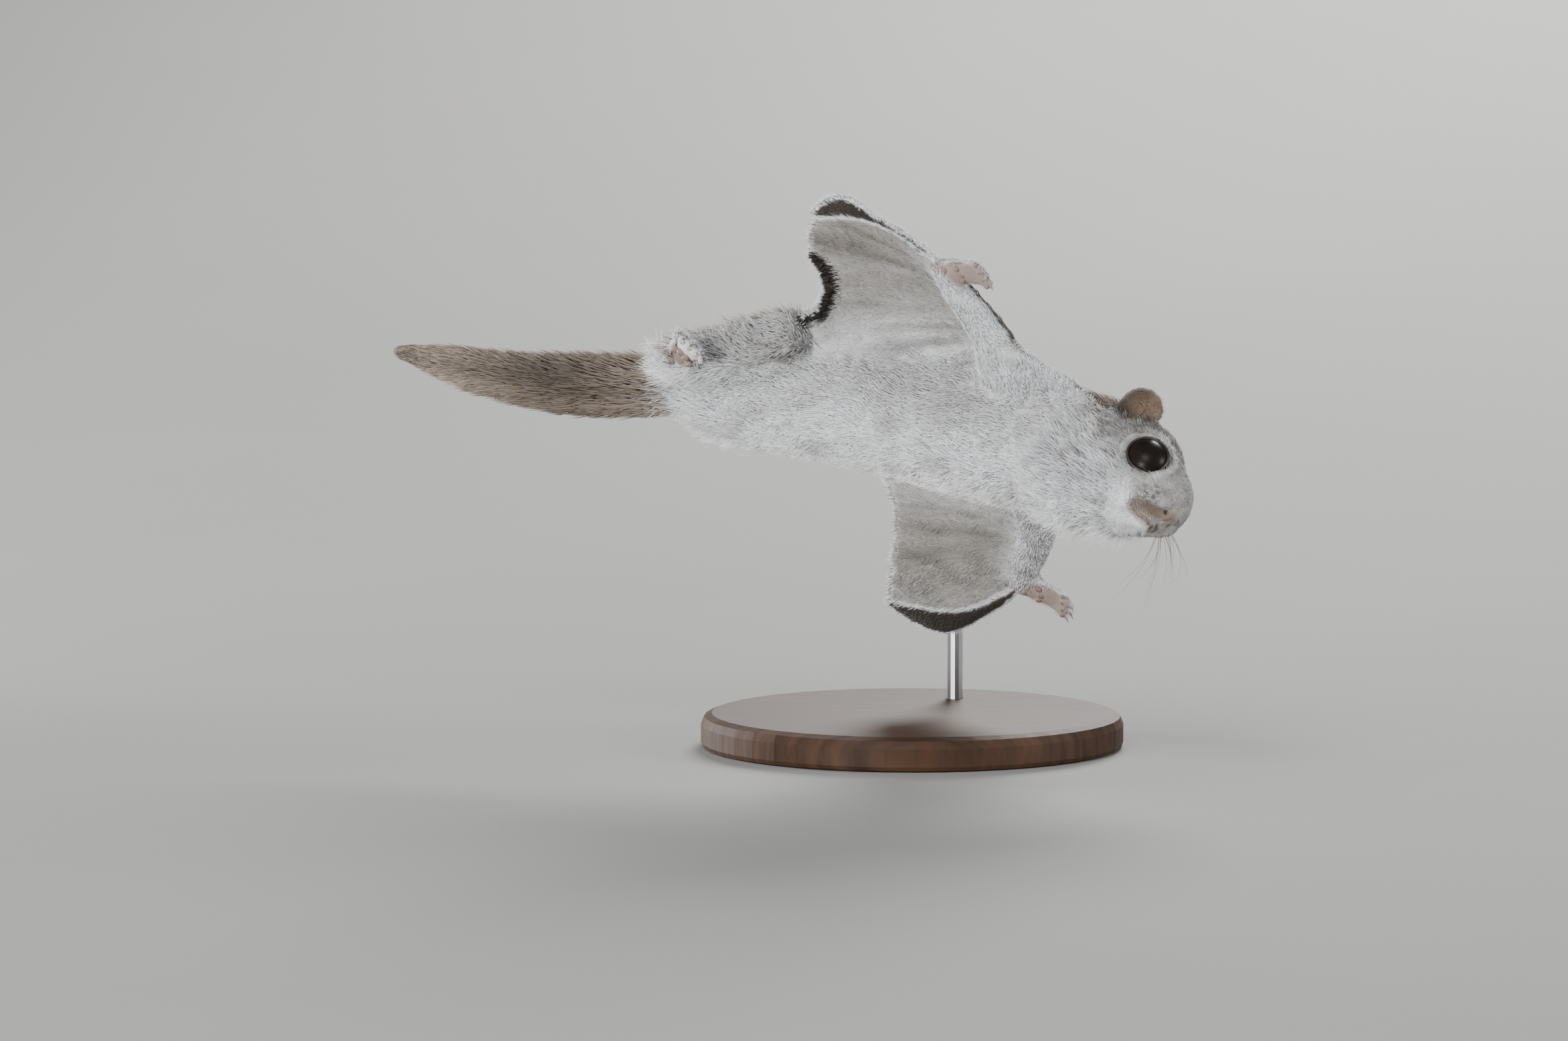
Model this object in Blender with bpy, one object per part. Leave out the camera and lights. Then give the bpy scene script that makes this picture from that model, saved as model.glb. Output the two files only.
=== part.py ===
"""A life-size flying squirrel, gliding with its limbs spread, held by a plain stand.

The animal is built in its own frame, in millimetres: forward along the spine, left, and up
through the back. One bank and one heading then place that frame over the stand.
"""

import math
import random

import bmesh
import bpy
from mathutils import Vector

# Driving sizes, in millimetres
MM = 0.001
GAP = 0.3                     # air between two parts that touch

# Attitude of the animal over the floor, degrees.
HEADING = -27.5
PITCH = -6.0
BANK = -53.8
HOVER = (-19.0, -30.0, 103.0)  # where the animal's own origin hangs over the stand's centre

# Torso: forward place, half width, half depth and height of the middle.
TORSO = (
    (-54.0, 6.5, 6.5, 0.0),
    (-51.0, 11.0, 10.5, 0.0),
    (-45.0, 15.0, 13.5, 0.2),
    (-35.0, 18.0, 15.5, 0.4),
    (-20.0, 19.0, 16.0, 0.6),
    (0.0, 19.5, 16.0, 0.6),
    (20.0, 21.0, 17.0, 0.5),
    (38.0, 23.0, 18.5, 0.0),
    (54.0, 22.0, 19.0, -0.5),
    (64.0, 18.5, 17.5, -0.8),
    (70.0, 12.5, 12.5, -1.0),
)
NECK = (
    (58.0, 16.0, 16.0, -1.0),
    (68.0, 18.0, 18.0, -2.5),
    (77.0, 18.6, 19.6, -5.0),
    (86.0, 17.6, 19.8, -8.0),
    (93.0, 11.0, 13.0, -8.0),
)

# Head: its own frame has x to the nose, y left and z to the crown, from between the eyes.
HEAD_PLACE = (105.0, 0.0, -8.4)
HEAD_PITCH = -34.0
HEAD = (
    # x, half width, chin height, crown height
    (-23.0, 8.0, -9.0, 6.0),
    (-20.0, 12.2, -18.5, 9.5),
    (-15.0, 14.8, -23.8, 11.2),
    (-9.0, 15.4, -25.0, 11.0),
    (-3.0, 14.8, -24.4, 9.6),
    (2.0, 13.2, -22.0, 8.0),
    (7.0, 11.2, -18.4, 6.0),
    (10.6, 9.6, -16.4, 3.6),
    (13.0, 7.6, -14.2, 0.8),
    (14.6, 5.2, -12.2, -2.0),
    (15.6, 2.8, -10.0, -4.6),
)
EYE = (-0.3, 9.5, -3.2)
EYE_RADII = (7.5, 5.1, 6.5)
LID_RING = 7.1
LID_THICK = 0.9
MUZZLE_PAD = (10.9, 4.4, -6.6)
MUZZLE_RADII = (4.5, 4.2, 4.1)
NOSE = (14.9, 0.0, -6.3)
NOSE_RADII = (2.1, 2.4, 2.0)
NOSTRIL = (16.3, 1.35, -7.0)
CHIN = (9.6, 0.0, -13.4)
CHIN_RADII = (5.4, 4.6, 3.0)
MOUTH_CORNER = (7.2, 8.6, -13.2)
MOUTH_FRONT = (15.6, 0.0, -10.4)

# Ears: from a base in the head to a rounded tip, opening forward and outward.
EAR_BASE = (-17.2, 9.5, -2.0)
EAR_TIP = (-14.6, 16.5, 10.6)
EAR_OPEN = (0.80, 0.58, -0.10)
EAR_HALF_WIDTH = 6.6
EAR_CUP = 3.0
EAR_THICK = 1.1

# Limb joints, for the left side unless a side is named; each is forward, left and up.
SHOULDER = (57.0, 14.0, 0.0)
ELBOW = (54.0, 37.0, 0.5)
WRIST = (43.5, 60.0, 0.0)
UPPER_ARM = (9.0, 8.2, 6.2)     # radius at the shoulder, the middle and the elbow
FOREARM = (6.0, 5.2, 3.8)
ARM_FLAT = 0.85                 # depth over width
PALM_LENGTH = 10.0
PALM_HALF_WIDTH = 4.6
PALM_HALF_DEPTH = 2.4
FINGER_LENGTH = 8.5
FINGER_RADIUS = 1.25
CLAW_LENGTH = 2.8
HIP = {"right": (-34.0, -7.0, 0.0), "left": (-34.0, 6.0, 4.0)}
KNEE = {"right": (-11.0, -28.0, -2.0), "left": (-13.0, 19.0, 8.0)}
ANKLE = {"right": (-48.0, -16.5, -11.0), "left": (-46.0, 13.0, 9.0)}
TOES = {"right": (-34.7, -32.8, -17.6), "left": (-66.0, 21.0, 18.0)}
SOLE = {"right": (-0.32, 0.12, -0.94), "left": (0.1, 0.6, -0.8)}
THIGH = (9.5, 8.6, 7.2)
SHANK = (7.2, 7.0, 5.0)
FOOT_HALF_WIDTH = 4.4
FOOT_HALF_DEPTH = 2.6
TOE_LENGTH = 8.0
TOE_RADIUS = 1.35

# Gliding membrane, forward and outward: the arm line, the outer line at the tip flap, the
# free rear edge from the knee, and the flap's own rim.
SHEET_THICK = 1.7
SHEET_BILLOW = 5.0
SHEET_STEPS = 12                # points along the border that the tip flap shares
FORE_THICK = 2.6
ARM_LINE = ((57.0, 12.0), (56.0, 25.0), (54.0, 37.0), (49.0, 49.0), (43.5, 60.0))
LEAD_LINE = ((84.0, 12.0), (80.0, 22.0), (70.0, 28.5), (60.0, 36.0), (51.5, 47.0), (46.0, 57.0))
OUTER_LINE = {
    "right": ((43.5, 60.0), (38.4, 66.0), (33.8, 70.0), (27.0, 73.8), (16.0, 75.0), (6.0, 73.0)),
    "left": ((43.5, 60.0), (37.8, 65.0), (33.2, 68.6), (25.8, 73.2), (14.0, 77.0), (-3.0, 77.0)),
}
REAR_LINE = {
    "right": ((-24.0, 22.0), (-14.0, 29.0), (-4.0, 32.0), (3.0, 42.0), (4.5, 50.0),
              (1.0, 59.0), (2.0, 66.0), (6.0, 73.0)),
    "left": ((-24.0, 15.0), (-12.0, 20.0), (1.0, 27.0), (4.5, 37.0), (4.0, 47.0),
             (2.0, 57.0), (-1.5, 67.0), (-3.0, 77.0)),
}
RIM_LINE = {
    "right": ((43.4, 62.8), (38.9, 68.6), (33.6, 72.6), (27.2, 76.0), (21.0, 80.2),
              (15.4, 82.0), (8.0, 79.0), (3.5, 73.5)),
    "left": ((43.4, 63.4), (37.2, 71.0), (26.4, 80.0), (17.0, 87.5), (11.0, 89.5),
             (4.0, 88.0), (-2.5, 83.5), (-6.0, 77.5)),
}
TIP_RISE = 2.5

# Tail: forward, left and up place, half width and half depth out to the hair tips.
TAIL = (
    (-44.0, 0.5, 0.0, 6.0, 5.5),
    (-52.0, 1.5, -1.0, 9.0, 7.5),
    (-62.0, 2.8, -2.4, 10.0, 7.5),
    (-76.0, 4.0, -4.2, 10.5, 7.0),
    (-92.0, 5.0, -5.6, 10.2, 6.5),
    (-106.0, 5.4, -6.2, 8.6, 5.4),
    (-120.0, 5.2, -5.6, 7.4, 4.6),
    (-134.0, 4.8, -4.6, 5.8, 3.8),
    (-144.0, 4.4, -4.0, 3.8, 2.6),
    (-150.0, 4.2, -3.6, 1.6, 1.2),
)

CORE_SHARE = 0.5
LOCK_FIRST, LOCK_LAST = -46.0, -125.0
LOCK_RINGS = 7
LOCKS_ROUND = 6
LOCK_LENGTH = (30.0, 23.0)
LOCK_WIDTH = (10.0, 5.5)
LOCK_THICK = 1.7
LOCK_ROOT, LOCK_TIP = 0.30, 1.0  # shares of the outline's reach

# Stand.
BASE_RADIUS = 62.0
BASE_HEIGHT = 10.0
BASE_ROUND = 1.6
ROD_RADIUS = 2.4
ROD_PATH = ((13.0, 34.0, 4.0), (13.0, 34.0, 30.0), (13.0, 34.0, 56.0), (12.6, 31.0, 80.0),
            (10.0, 18.0, 96.0), (5.5, -4.0, 101.5), (0.5, -27.0, 103.5))

RIGHT = "right"
LEFT = "left"
SIDES = {RIGHT: -1.0, LEFT: 1.0}


# Frames
def attitude():
    """The animal's forward, left and up directions over the floor."""
    heading = math.radians(HEADING)
    pitch = math.radians(PITCH)
    bank = math.radians(BANK)
    forward = Vector((math.cos(pitch) * math.cos(heading),
                      math.cos(pitch) * math.sin(heading),
                      math.sin(pitch)))
    level = Vector((-math.sin(heading), math.cos(heading), 0.0))
    over = forward.cross(level)
    left = level * math.cos(bank) + over * math.sin(bank)
    return forward, left, forward.cross(left)


FORWARD, LEFTWARD, UPWARD = attitude()


def body_point(p):
    """A point of the animal's frame, in the stand's frame, metres."""
    place = Vector(HOVER) + FORWARD * p[0] + LEFTWARD * p[1] + UPWARD * p[2]
    return place * MM


def stand_point(p):
    return Vector(p) * MM


def head_point(p):
    """A point of the head's frame, in the animal's frame."""
    angle = math.radians(HEAD_PITCH)
    cos, sin = math.cos(angle), math.sin(angle)
    x, y, z = p
    return Vector((HEAD_PLACE[0] + cos * x - sin * z,
                   HEAD_PLACE[1] + y,
                   HEAD_PLACE[2] + sin * x + cos * z))


def in_head(p):
    return body_point(head_point(p))


def sided(p, side):
    """A point given for the left, taken to the named side."""
    return (p[0], p[1] * SIDES[side], p[2])


# Meshes
def new_object(name, verts, faces, place):
    mesh = bpy.data.meshes.new(name)
    mesh.from_pydata([tuple(place(v)) for v in verts], [], faces)
    mesh.validate()
    obj = bpy.data.objects.new(name, mesh)
    PARTS.objects.link(obj)
    settle(obj)
    return obj


def settle(obj):
    """Merge what coincides and face every surface outward."""
    bm = bmesh.new()
    bm.from_mesh(obj.data)
    bmesh.ops.remove_doubles(bm, verts=bm.verts, dist=1e-7)
    bmesh.ops.recalc_face_normals(bm, faces=bm.faces)
    if bm.calc_volume(signed=True) < 0:
        bmesh.ops.reverse_faces(bm, faces=bm.faces)
    bm.to_mesh(obj.data)
    bm.free()


def is_closed(mesh):
    """Triangulate a mesh, and tell whether each of its edges joins just two faces."""
    bm = bmesh.new()
    bm.from_mesh(mesh)
    bmesh.ops.triangulate(bm, faces=bm.faces)
    bm.to_mesh(mesh)
    closed = len(bm.faces) > 3 and all(len(e.link_faces) == 2 for e in bm.edges)
    closed = closed and bm.calc_volume(signed=True) > 0
    bm.free()
    return closed


def combine(obj, tools, operation):
    """Apply one Boolean per tool, then drop the tools."""
    for tool in tools:
        modifier = obj.modifiers.new("shape", "BOOLEAN")
        modifier.operation = operation
        modifier.object = tool
        for solver in ("EXACT", "MANIFOLD"):
            modifier.solver = solver
            graph = bpy.context.evaluated_depsgraph_get()
            graph.update()
            result = bpy.data.meshes.new_from_object(obj.evaluated_get(graph))
            if is_closed(result):
                break
            if solver == "EXACT":
                bpy.data.meshes.remove(result)
        obj.modifiers.clear()
        old = obj.data
        obj.data = result
        bpy.data.meshes.remove(old)
        spent = tool.data
        bpy.data.objects.remove(tool)
        bpy.data.meshes.remove(spent)
    keep_largest(obj)
    return obj


def fuse(obj, tufts):
    """One union of an object with a whole collection, which is then dropped."""
    bpy.context.scene.collection.children.link(tufts)
    modifier = obj.modifiers.new("fuse", "BOOLEAN")
    modifier.operation = "UNION"
    modifier.operand_type = "COLLECTION"
    modifier.collection = tufts
    for solver in ("EXACT", "MANIFOLD"):
        modifier.solver = solver
        graph = bpy.context.evaluated_depsgraph_get()
        graph.update()
        result = bpy.data.meshes.new_from_object(obj.evaluated_get(graph))
        if is_closed(result):
            break
    obj.modifiers.clear()
    old = obj.data
    obj.data = result
    bpy.data.meshes.remove(old)
    for lock in list(tufts.objects):
        spent = lock.data
        bpy.data.objects.remove(lock)
        bpy.data.meshes.remove(spent)
    bpy.data.collections.remove(tufts)
    keep_largest(obj)


def keep_largest(obj):
    """Leave only the closed surface that holds the most."""
    bm = bmesh.new()
    bm.from_mesh(obj.data)
    bm.verts.ensure_lookup_table()
    seen = set()
    shells = []
    for start in bm.verts:
        if start in seen:
            continue
        stack = [start]
        shell = []
        seen.add(start)
        while stack:
            vert = stack.pop()
            shell.append(vert)
            for edge in vert.link_edges:
                other = edge.other_vert(vert)
                if other not in seen:
                    seen.add(other)
                    stack.append(other)
        shells.append(shell)
    if len(shells) > 1:
        sizes = []
        for shell in shells:
            low = [min(v.co[i] for v in shell) for i in range(3)]
            high = [max(v.co[i] for v in shell) for i in range(3)]
            sizes.append(math.prod(h - l + 1e-6 for h, l in zip(high, low)))
        largest = sizes.index(max(sizes))
        spare = [v for i, shell in enumerate(shells) if i != largest for v in shell]
        bmesh.ops.delete(bm, geom=spare, context="VERTS")
    bm.to_mesh(obj.data)
    bm.free()


def spline(points, count):
    """A smooth curve through the points, at evenly spread parameters."""
    points = [Vector(p) for p in points]
    size = len(points)
    out = []
    for i in range(count):
        at = (size - 1) * i / (count - 1)
        k = min(int(at), size - 2)
        t = at - k
        before = points[k - 1] if k > 0 else points[k] * 2 - points[k + 1]
        after = points[k + 2] if k + 2 < size else points[k + 1] * 2 - points[k]
        a, b = points[k], points[k + 1]
        out.append(0.5 * ((2 * a) + (b - before) * t
                          + (2 * before - 5 * a + 4 * b - after) * t * t
                          + (3 * a - before - 3 * b + after) * t * t * t))
    return out


def loft(name, sections, place, sides=20):
    """Closed skin over rings of equal count, with a point at each end."""
    verts = []
    faces = []
    for ring in sections:
        verts.extend(ring)
    count = len(sections)
    for i in range(count - 1):
        for j in range(sides):
            a = i * sides + j
            b = i * sides + (j + 1) % sides
            faces.append((a, b, b + sides, a + sides))
    for i in (0, count - 1):
        ring = sections[i]
        middle = sum((Vector(v) for v in ring), Vector()) / sides
        tip = len(verts)
        verts.append(middle)
        for j in range(sides):
            faces.append((i * sides + j, i * sides + (j + 1) % sides, tip))
    return new_object(name, verts, faces, place)


DOME = ((0.96, 0.28), (0.72, 0.69), (0.38, 0.92))
SMALL_DOME = ((0.75, 0.62),)


def tube(name, path, place, up=(0.0, 0.0, 1.0), sides=16, rings=9, grow=0.0, ends=0.55,
         dome=DOME):
    """A round-ended limb through points that carry half width and half depth."""
    line = spline([p[:3] for p in path], rings)
    sizes = spline([(p[3], p[4], 0.0) for p in path], rings)
    line = [Vector(p) for p in line]
    start = (line[0] - line[1]).normalized()
    finish = (line[-1] - line[-2]).normalized()
    stations = []
    first, last = sizes[0], sizes[-1]
    for reach, share in dome:
        stations.append((line[0] + start * (reach * ends * min(first[0], first[1]) + grow * reach),
                         first[0] * share, first[1] * share))
    for p, s in zip(line, sizes):
        stations.append((p, s[0], s[1]))
    for reach, share in reversed(dome):
        stations.append((line[-1] + finish * (reach * ends * min(last[0], last[1]) + grow * reach),
                         last[0] * share, last[1] * share))
    up = Vector(up)
    sections = []
    for i, (p, wide, deep) in enumerate(stations):
        ahead = stations[min(i + 1, len(stations) - 1)][0] - stations[max(i - 1, 0)][0]
        ahead.normalize()
        across = up.cross(ahead).normalized()
        above = ahead.cross(across).normalized()
        ring = []
        for j in range(sides):
            a = 2 * math.pi * j / sides
            ring.append(p + across * ((wide + grow) * math.cos(a))
                        + above * ((deep + grow) * math.sin(a)))
        sections.append(ring)
    return loft(name, sections, place, sides)


def ellipsoid(name, centre, radii, place, grow=0.0, around=20, down=12):
    sections = []
    for i in range(1, down):
        b = math.pi * i / down
        ring = []
        for j in range(around):
            a = 2 * math.pi * j / around
            ring.append(Vector((centre[0] + (radii[0] + grow) * math.sin(b) * math.cos(a),
                                centre[1] + (radii[1] + grow) * math.cos(b),
                                centre[2] + (radii[2] + grow) * math.sin(b) * math.sin(a))))
        sections.append(ring)
    return loft(name, sections, place, around)


def sheet(name, grid, normals, thick, place):
    """A closed plate over a grid of points, its two faces divided alike."""
    rows, cols = len(grid), len(grid[0])
    verts = []
    for sign in (0.5, -0.5):
        for i in range(rows):
            for j in range(cols):
                verts.append(grid[i][j] + normals[i][j] * (thick * sign))
    layer = rows * cols

    def at(i, j, k=0):
        return k * layer + i * cols + j

    faces = []
    for i in range(rows - 1):
        for j in range(cols - 1):
            a, b, c, d = at(i, j), at(i, j + 1), at(i + 1, j + 1), at(i + 1, j)
            faces.append((a, b, c))
            faces.append((a, c, d))
            faces.append((a + layer, c + layer, b + layer))
            faces.append((a + layer, d + layer, c + layer))
    border = [(0, j) for j in range(cols)]
    border += [(i, cols - 1) for i in range(1, rows)]
    border += [(rows - 1, j) for j in range(cols - 2, -1, -1)]
    border += [(i, 0) for i in range(rows - 2, 0, -1)]
    for k, (i, j) in enumerate(border):
        m, n = border[(k + 1) % len(border)]
        a, b = at(i, j), at(m, n)
        faces.append((b, a, a + layer))
        faces.append((b, a + layer, b + layer))
    return new_object(name, verts, faces, place)


def grid_normals(grid, toward):
    """Unit normals of a grid of points, all on the side of the given direction."""
    rows, cols = len(grid), len(grid[0])
    toward = Vector(toward)
    normals = []
    for i in range(rows):
        row = []
        for j in range(cols):
            along = grid[min(i + 1, rows - 1)][j] - grid[max(i - 1, 0)][j]
            across = grid[i][min(j + 1, cols - 1)] - grid[i][max(j - 1, 0)]
            normal = along.cross(across)
            if normal.length < 1e-9:
                normal = toward.copy()
            normal.normalize()
            if normal.dot(toward) < 0:
                normal = -normal
            row.append(normal)
        normals.append(row)
    return normals


def coons(first, last, begin, end):
    """A surface between two pairs of facing borders, all given as equal rows of points."""
    rows, cols = len(begin), len(first)
    grid = []
    for i in range(rows):
        s = i / (rows - 1)
        row = []
        for j in range(cols):
            t = j / (cols - 1)
            ruled = first[j] * (1 - s) + last[j] * s
            other = begin[i] * (1 - t) + end[i] * t
            corners = (first[0] * ((1 - s) * (1 - t)) + first[-1] * ((1 - s) * t)
                       + last[0] * (s * (1 - t)) + last[-1] * (s * t))
            row.append(ruled + other - corners)
        grid.append(row)
    return grid


# The trunk and the head
def spine_path(table):
    return [(f, 0.0, u, wide, deep) for f, wide, deep, u in table]


def make_torso(name, grow=0.0):
    return tube(name, spine_path(TORSO), body_point, sides=20, rings=15, grow=grow, ends=0.5)


def make_neck(name, grow=0.0):
    return tube(name, spine_path(NECK), body_point, sides=20, rings=8, grow=grow, ends=0.4)


def make_head_core(name, grow=0.0):
    path = [(x, 0.0, (low + high) / 2, wide, (high - low) / 2) for x, wide, low, high in HEAD]
    return tube(name, path, in_head, sides=22, rings=14, grow=grow, ends=0.5)


def make_eye(name, side, grow=0.0):
    return ellipsoid(name, sided(EYE, side), EYE_RADII, in_head, grow, around=18, down=8)


def make_lid(side):
    """A raised rim round the eye's opening."""
    verts = []
    faces = []
    around, small = 18, 5
    for i in range(around):
        a = 2 * math.pi * i / around
        for j in range(small):
            b = 2 * math.pi * j / small
            reach = LID_RING + LID_THICK * math.cos(b)
            verts.append(Vector((EYE[0] + reach * math.cos(a),
                                 (EYE[1] + 2.5 + LID_THICK * math.sin(b)
                                  - 0.06 * (reach * math.cos(a)) ** 2 * 0.4
                                  - max(0.0, reach * math.cos(a)) * 0.16) * SIDES[side],
                                 EYE[2] + 0.95 * reach * math.sin(a))))
    for i in range(around):
        for j in range(small):
            a = i * small + j
            b = i * small + (j + 1) % small
            c = ((i + 1) % around) * small + (j + 1) % small
            d = ((i + 1) % around) * small + j
            faces.append((a, b, c, d))
    return new_object("lid", verts, faces, in_head)


def make_mouth_cut():
    """A thin curved wedge that leaves the line between the lips."""
    left = Vector(MOUTH_CORNER)
    front = Vector(MOUTH_FRONT)
    right = Vector((left.x, -left.y, left.z))
    path = []
    for p in spline((left, (12.3, 5.4, -11.4), front, (12.3, -5.4, -11.4), right), 13):
        path.append((p.x, p.y, p.z, 1.3, 0.28))
    return tube("mouth", path, in_head, sides=6, rings=17, dome=SMALL_DOME)


def make_head(name, grow=0.0):
    head = make_head_core(name, grow)
    extra = []
    for side in SIDES:
        extra.append(ellipsoid("pad", sided(MUZZLE_PAD, side), MUZZLE_RADII, in_head, grow, 13, 8))
        extra.append(make_lid(side))
    extra.append(ellipsoid("nose", NOSE, NOSE_RADII, in_head, grow, 11, 7))
    extra.append(ellipsoid("chin", CHIN, CHIN_RADII, in_head, grow, 13, 8))
    combine(head, extra, "UNION")
    cuts = [make_neck("cut", GAP), make_mouth_cut()]
    for side in SIDES:
        cuts.append(make_eye("cut", side, GAP))
        cuts.append(ellipsoid("nostril", sided(NOSTRIL, side), (0.9, 0.5, 0.45), in_head, 0, 8, 5))
    return combine(head, cuts, "DIFFERENCE")


def make_ear(name, side, grow=0.0):
    base = Vector(sided(EAR_BASE, side))
    tip = Vector(sided(EAR_TIP, side))
    axis = (tip - base)
    length = axis.length
    axis.normalize()
    opening = Vector(sided(EAR_OPEN, side))
    opening = (opening - axis * opening.dot(axis)).normalized()
    wide = axis.cross(opening).normalized()
    rows, cols = 8, 7
    grid = []
    for i in range(rows):
        t = i / (rows - 1)
        half = EAR_HALF_WIDTH * (0.55 + 0.45 * math.sin(min(1.0, t / 0.55) * math.pi / 2))
        if t > 0.55:
            k = (t - 0.55) / 0.45
            half *= math.sqrt(max(0.0, 1 - (0.97 * k) ** 2.4))
        cup = EAR_CUP * (1.0 - 0.35 * t)
        row = []
        for j in range(cols):
            s = 2 * j / (cols - 1) - 1
            bend = cup * (s * s - 0.5) * (half / EAR_HALF_WIDTH) - 1.2 * math.sin(math.pi * t)
            row.append(base + axis * (length * t) + wide * (half * s * (1 - 0.06 * s * s))
                       + opening * bend)
        grid.append(row)
    normals = grid_normals(grid, opening)
    return sheet(name, grid, normals, EAR_THICK + 2 * grow, in_head)


# The limbs
def limb(name, points, radii, grow=0.0, flat=1.0, sides=13, rings=7, up=(0.0, 0.0, 1.0)):
    start, finish = Vector(points[0]), Vector(points[-1])
    middle = Vector(points[1]) if len(points) == 3 else (start + finish) / 2
    path = []
    for p, r in zip((start, middle, finish), radii):
        path.append((p.x, p.y, p.z, r, r * flat))
    return tube(name, path, body_point, up=up, sides=sides, rings=rings, grow=grow)


def make_upper_arm(name, side, grow=0.0):
    ends = (sided(SHOULDER, side), sided(ELBOW, side))
    return limb(name, ends, UPPER_ARM, grow, ARM_FLAT)


def make_forearm(name, side, grow=0.0):
    ends = (sided(ELBOW, side), sided(WRIST, side))
    return limb(name, ends, FOREARM, grow, ARM_FLAT)


def make_thigh(name, side, grow=0.0):
    return limb(name, (HIP[side], KNEE[side]), THIGH, grow)


def make_shank(name, side, grow=0.0):
    return limb(name, (KNEE[side], ANKLE[side]), SHANK, grow)


def digit(root, aim, curl, length, radius, claw):
    """One finger or toe that ends in a tapering claw, bent towards the curl direction."""
    root, aim, curl = Vector(root), Vector(aim).normalized(), Vector(curl).normalized()
    path = []
    for t, r in ((0.0, 1.05), (0.45, 0.9), (0.85, 1.0), (1.0, 0.62)):
        p = root + aim * (length * t) + curl * (length * 0.22 * t * t)
        path.append((p.x, p.y, p.z, radius * r, radius * r))
    tip = root + aim * length + curl * (length * 0.22 - radius * 0.2)
    for t, r in ((0.3, 0.42), (0.7, 0.28), (1.0, 0.12)):
        p = tip + aim * (claw * t) + curl * (claw * 0.6 * t * t)
        path.append((p.x, p.y, p.z, radius * r * 0.8, radius * r))
    return tube("digit", path, body_point, up=curl, sides=6, rings=7, dome=SMALL_DOME)


def palm_frame(side):
    """Wrist, direction of the fingers and direction across the palm."""
    out = SIDES[side]
    aim = Vector((0.96, 0.24 * out, -0.10)).normalized()
    wide = Vector((-0.24, 0.97 * out, 0.0)).normalized()
    return Vector(sided(WRIST, side)), aim, wide


def make_palm(name, side, grow=0.0):
    wrist, aim, wide = palm_frame(side)
    palm = []
    for t, w, d in ((-0.15, 0.7, 1.0), (0.3, 0.9, 1.0), (0.7, 1.0, 0.9), (1.0, 0.86, 0.72)):
        p = wrist + aim * (PALM_LENGTH * t)
        palm.append((p.x, p.y, p.z, PALM_HALF_WIDTH * w, PALM_HALF_DEPTH * d))
    return tube(name, palm, body_point, sides=12, rings=6, grow=grow)


def make_hand(name, side):
    wrist, aim, wide = palm_frame(side)
    hand = make_palm(name, side)
    fingers = []
    for spread, reach in ((-0.72, 0.84), (-0.25, 1.0), (0.25, 1.0), (0.72, 0.82)):
        root = wrist + aim * (PALM_LENGTH * 0.86) + wide * (PALM_HALF_WIDTH * spread)
        point = aim + wide * (0.14 * spread)
        fingers.append(digit(root, point, (0.0, 0.0, -1.0), FINGER_LENGTH * reach,
                             FINGER_RADIUS, CLAW_LENGTH))
    combine(hand, fingers, "UNION")
    return combine(hand, [make_forearm("cut", side, GAP)], "DIFFERENCE")


def sole_frame(side):
    """Ankle, direction of the toes, direction the sole faces, across, and the sole's length."""
    ankle, toes = Vector(ANKLE[side]), Vector(TOES[side])
    aim = (toes - ankle).normalized()
    sole = Vector(SOLE[side])
    sole = (sole - aim * sole.dot(aim)).normalized()
    length = (toes - ankle).length - TOE_LENGTH * 0.6
    return ankle, aim, sole, aim.cross(sole).normalized(), length


def make_sole(name, side, grow=0.0):
    ankle, aim, sole, wide, length = sole_frame(side)
    path = []
    for t, w, d in ((-0.1, 0.8, 1.2), (0.25, 0.82, 1.05), (0.7, 1.0, 0.95), (1.0, 0.92, 0.8)):
        p = ankle + aim * (length * t)
        path.append((p.x, p.y, p.z, FOOT_HALF_WIDTH * w, FOOT_HALF_DEPTH * d))
    return tube(name, path, body_point, up=sole, sides=12, rings=6, grow=grow)


def make_foot(name, side):
    ankle, aim, sole, wide, length = sole_frame(side)
    foot = make_sole(name, side)
    digits = []
    for spread, reach in ((-0.8, 0.72), (-0.4, 0.95), (0.0, 1.0), (0.4, 0.95), (0.8, 0.72)):
        root = ankle + aim * (length * 0.92) + wide * (FOOT_HALF_WIDTH * spread)
        point = aim + wide * (0.38 * spread)
        digits.append(digit(root, point, sole, TOE_LENGTH * reach, TOE_RADIUS, CLAW_LENGTH))
    combine(foot, digits, "UNION")
    return combine(foot, [make_shank("cut", side, GAP)], "DIFFERENCE")


# The gliding membrane
def flat_line(points, side, count):
    """Points of the membrane's plane on a smooth curve, evenly apart along it."""
    out = SIDES[side]
    fine = spline([(f, l * out, 0.0) for f, l in points], 161)
    reach = [0.0]
    for a, b in zip(fine, fine[1:]):
        reach.append(reach[-1] + (b - a).length)
    line = []
    k = 0
    for i in range(count):
        want = reach[-1] * i / (count - 1)
        while k < len(fine) - 2 and reach[k + 1] < want:
            k += 1
        t = (want - reach[k]) / (reach[k + 1] - reach[k])
        line.append(fine[k].lerp(fine[k + 1], t))
    return line


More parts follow.
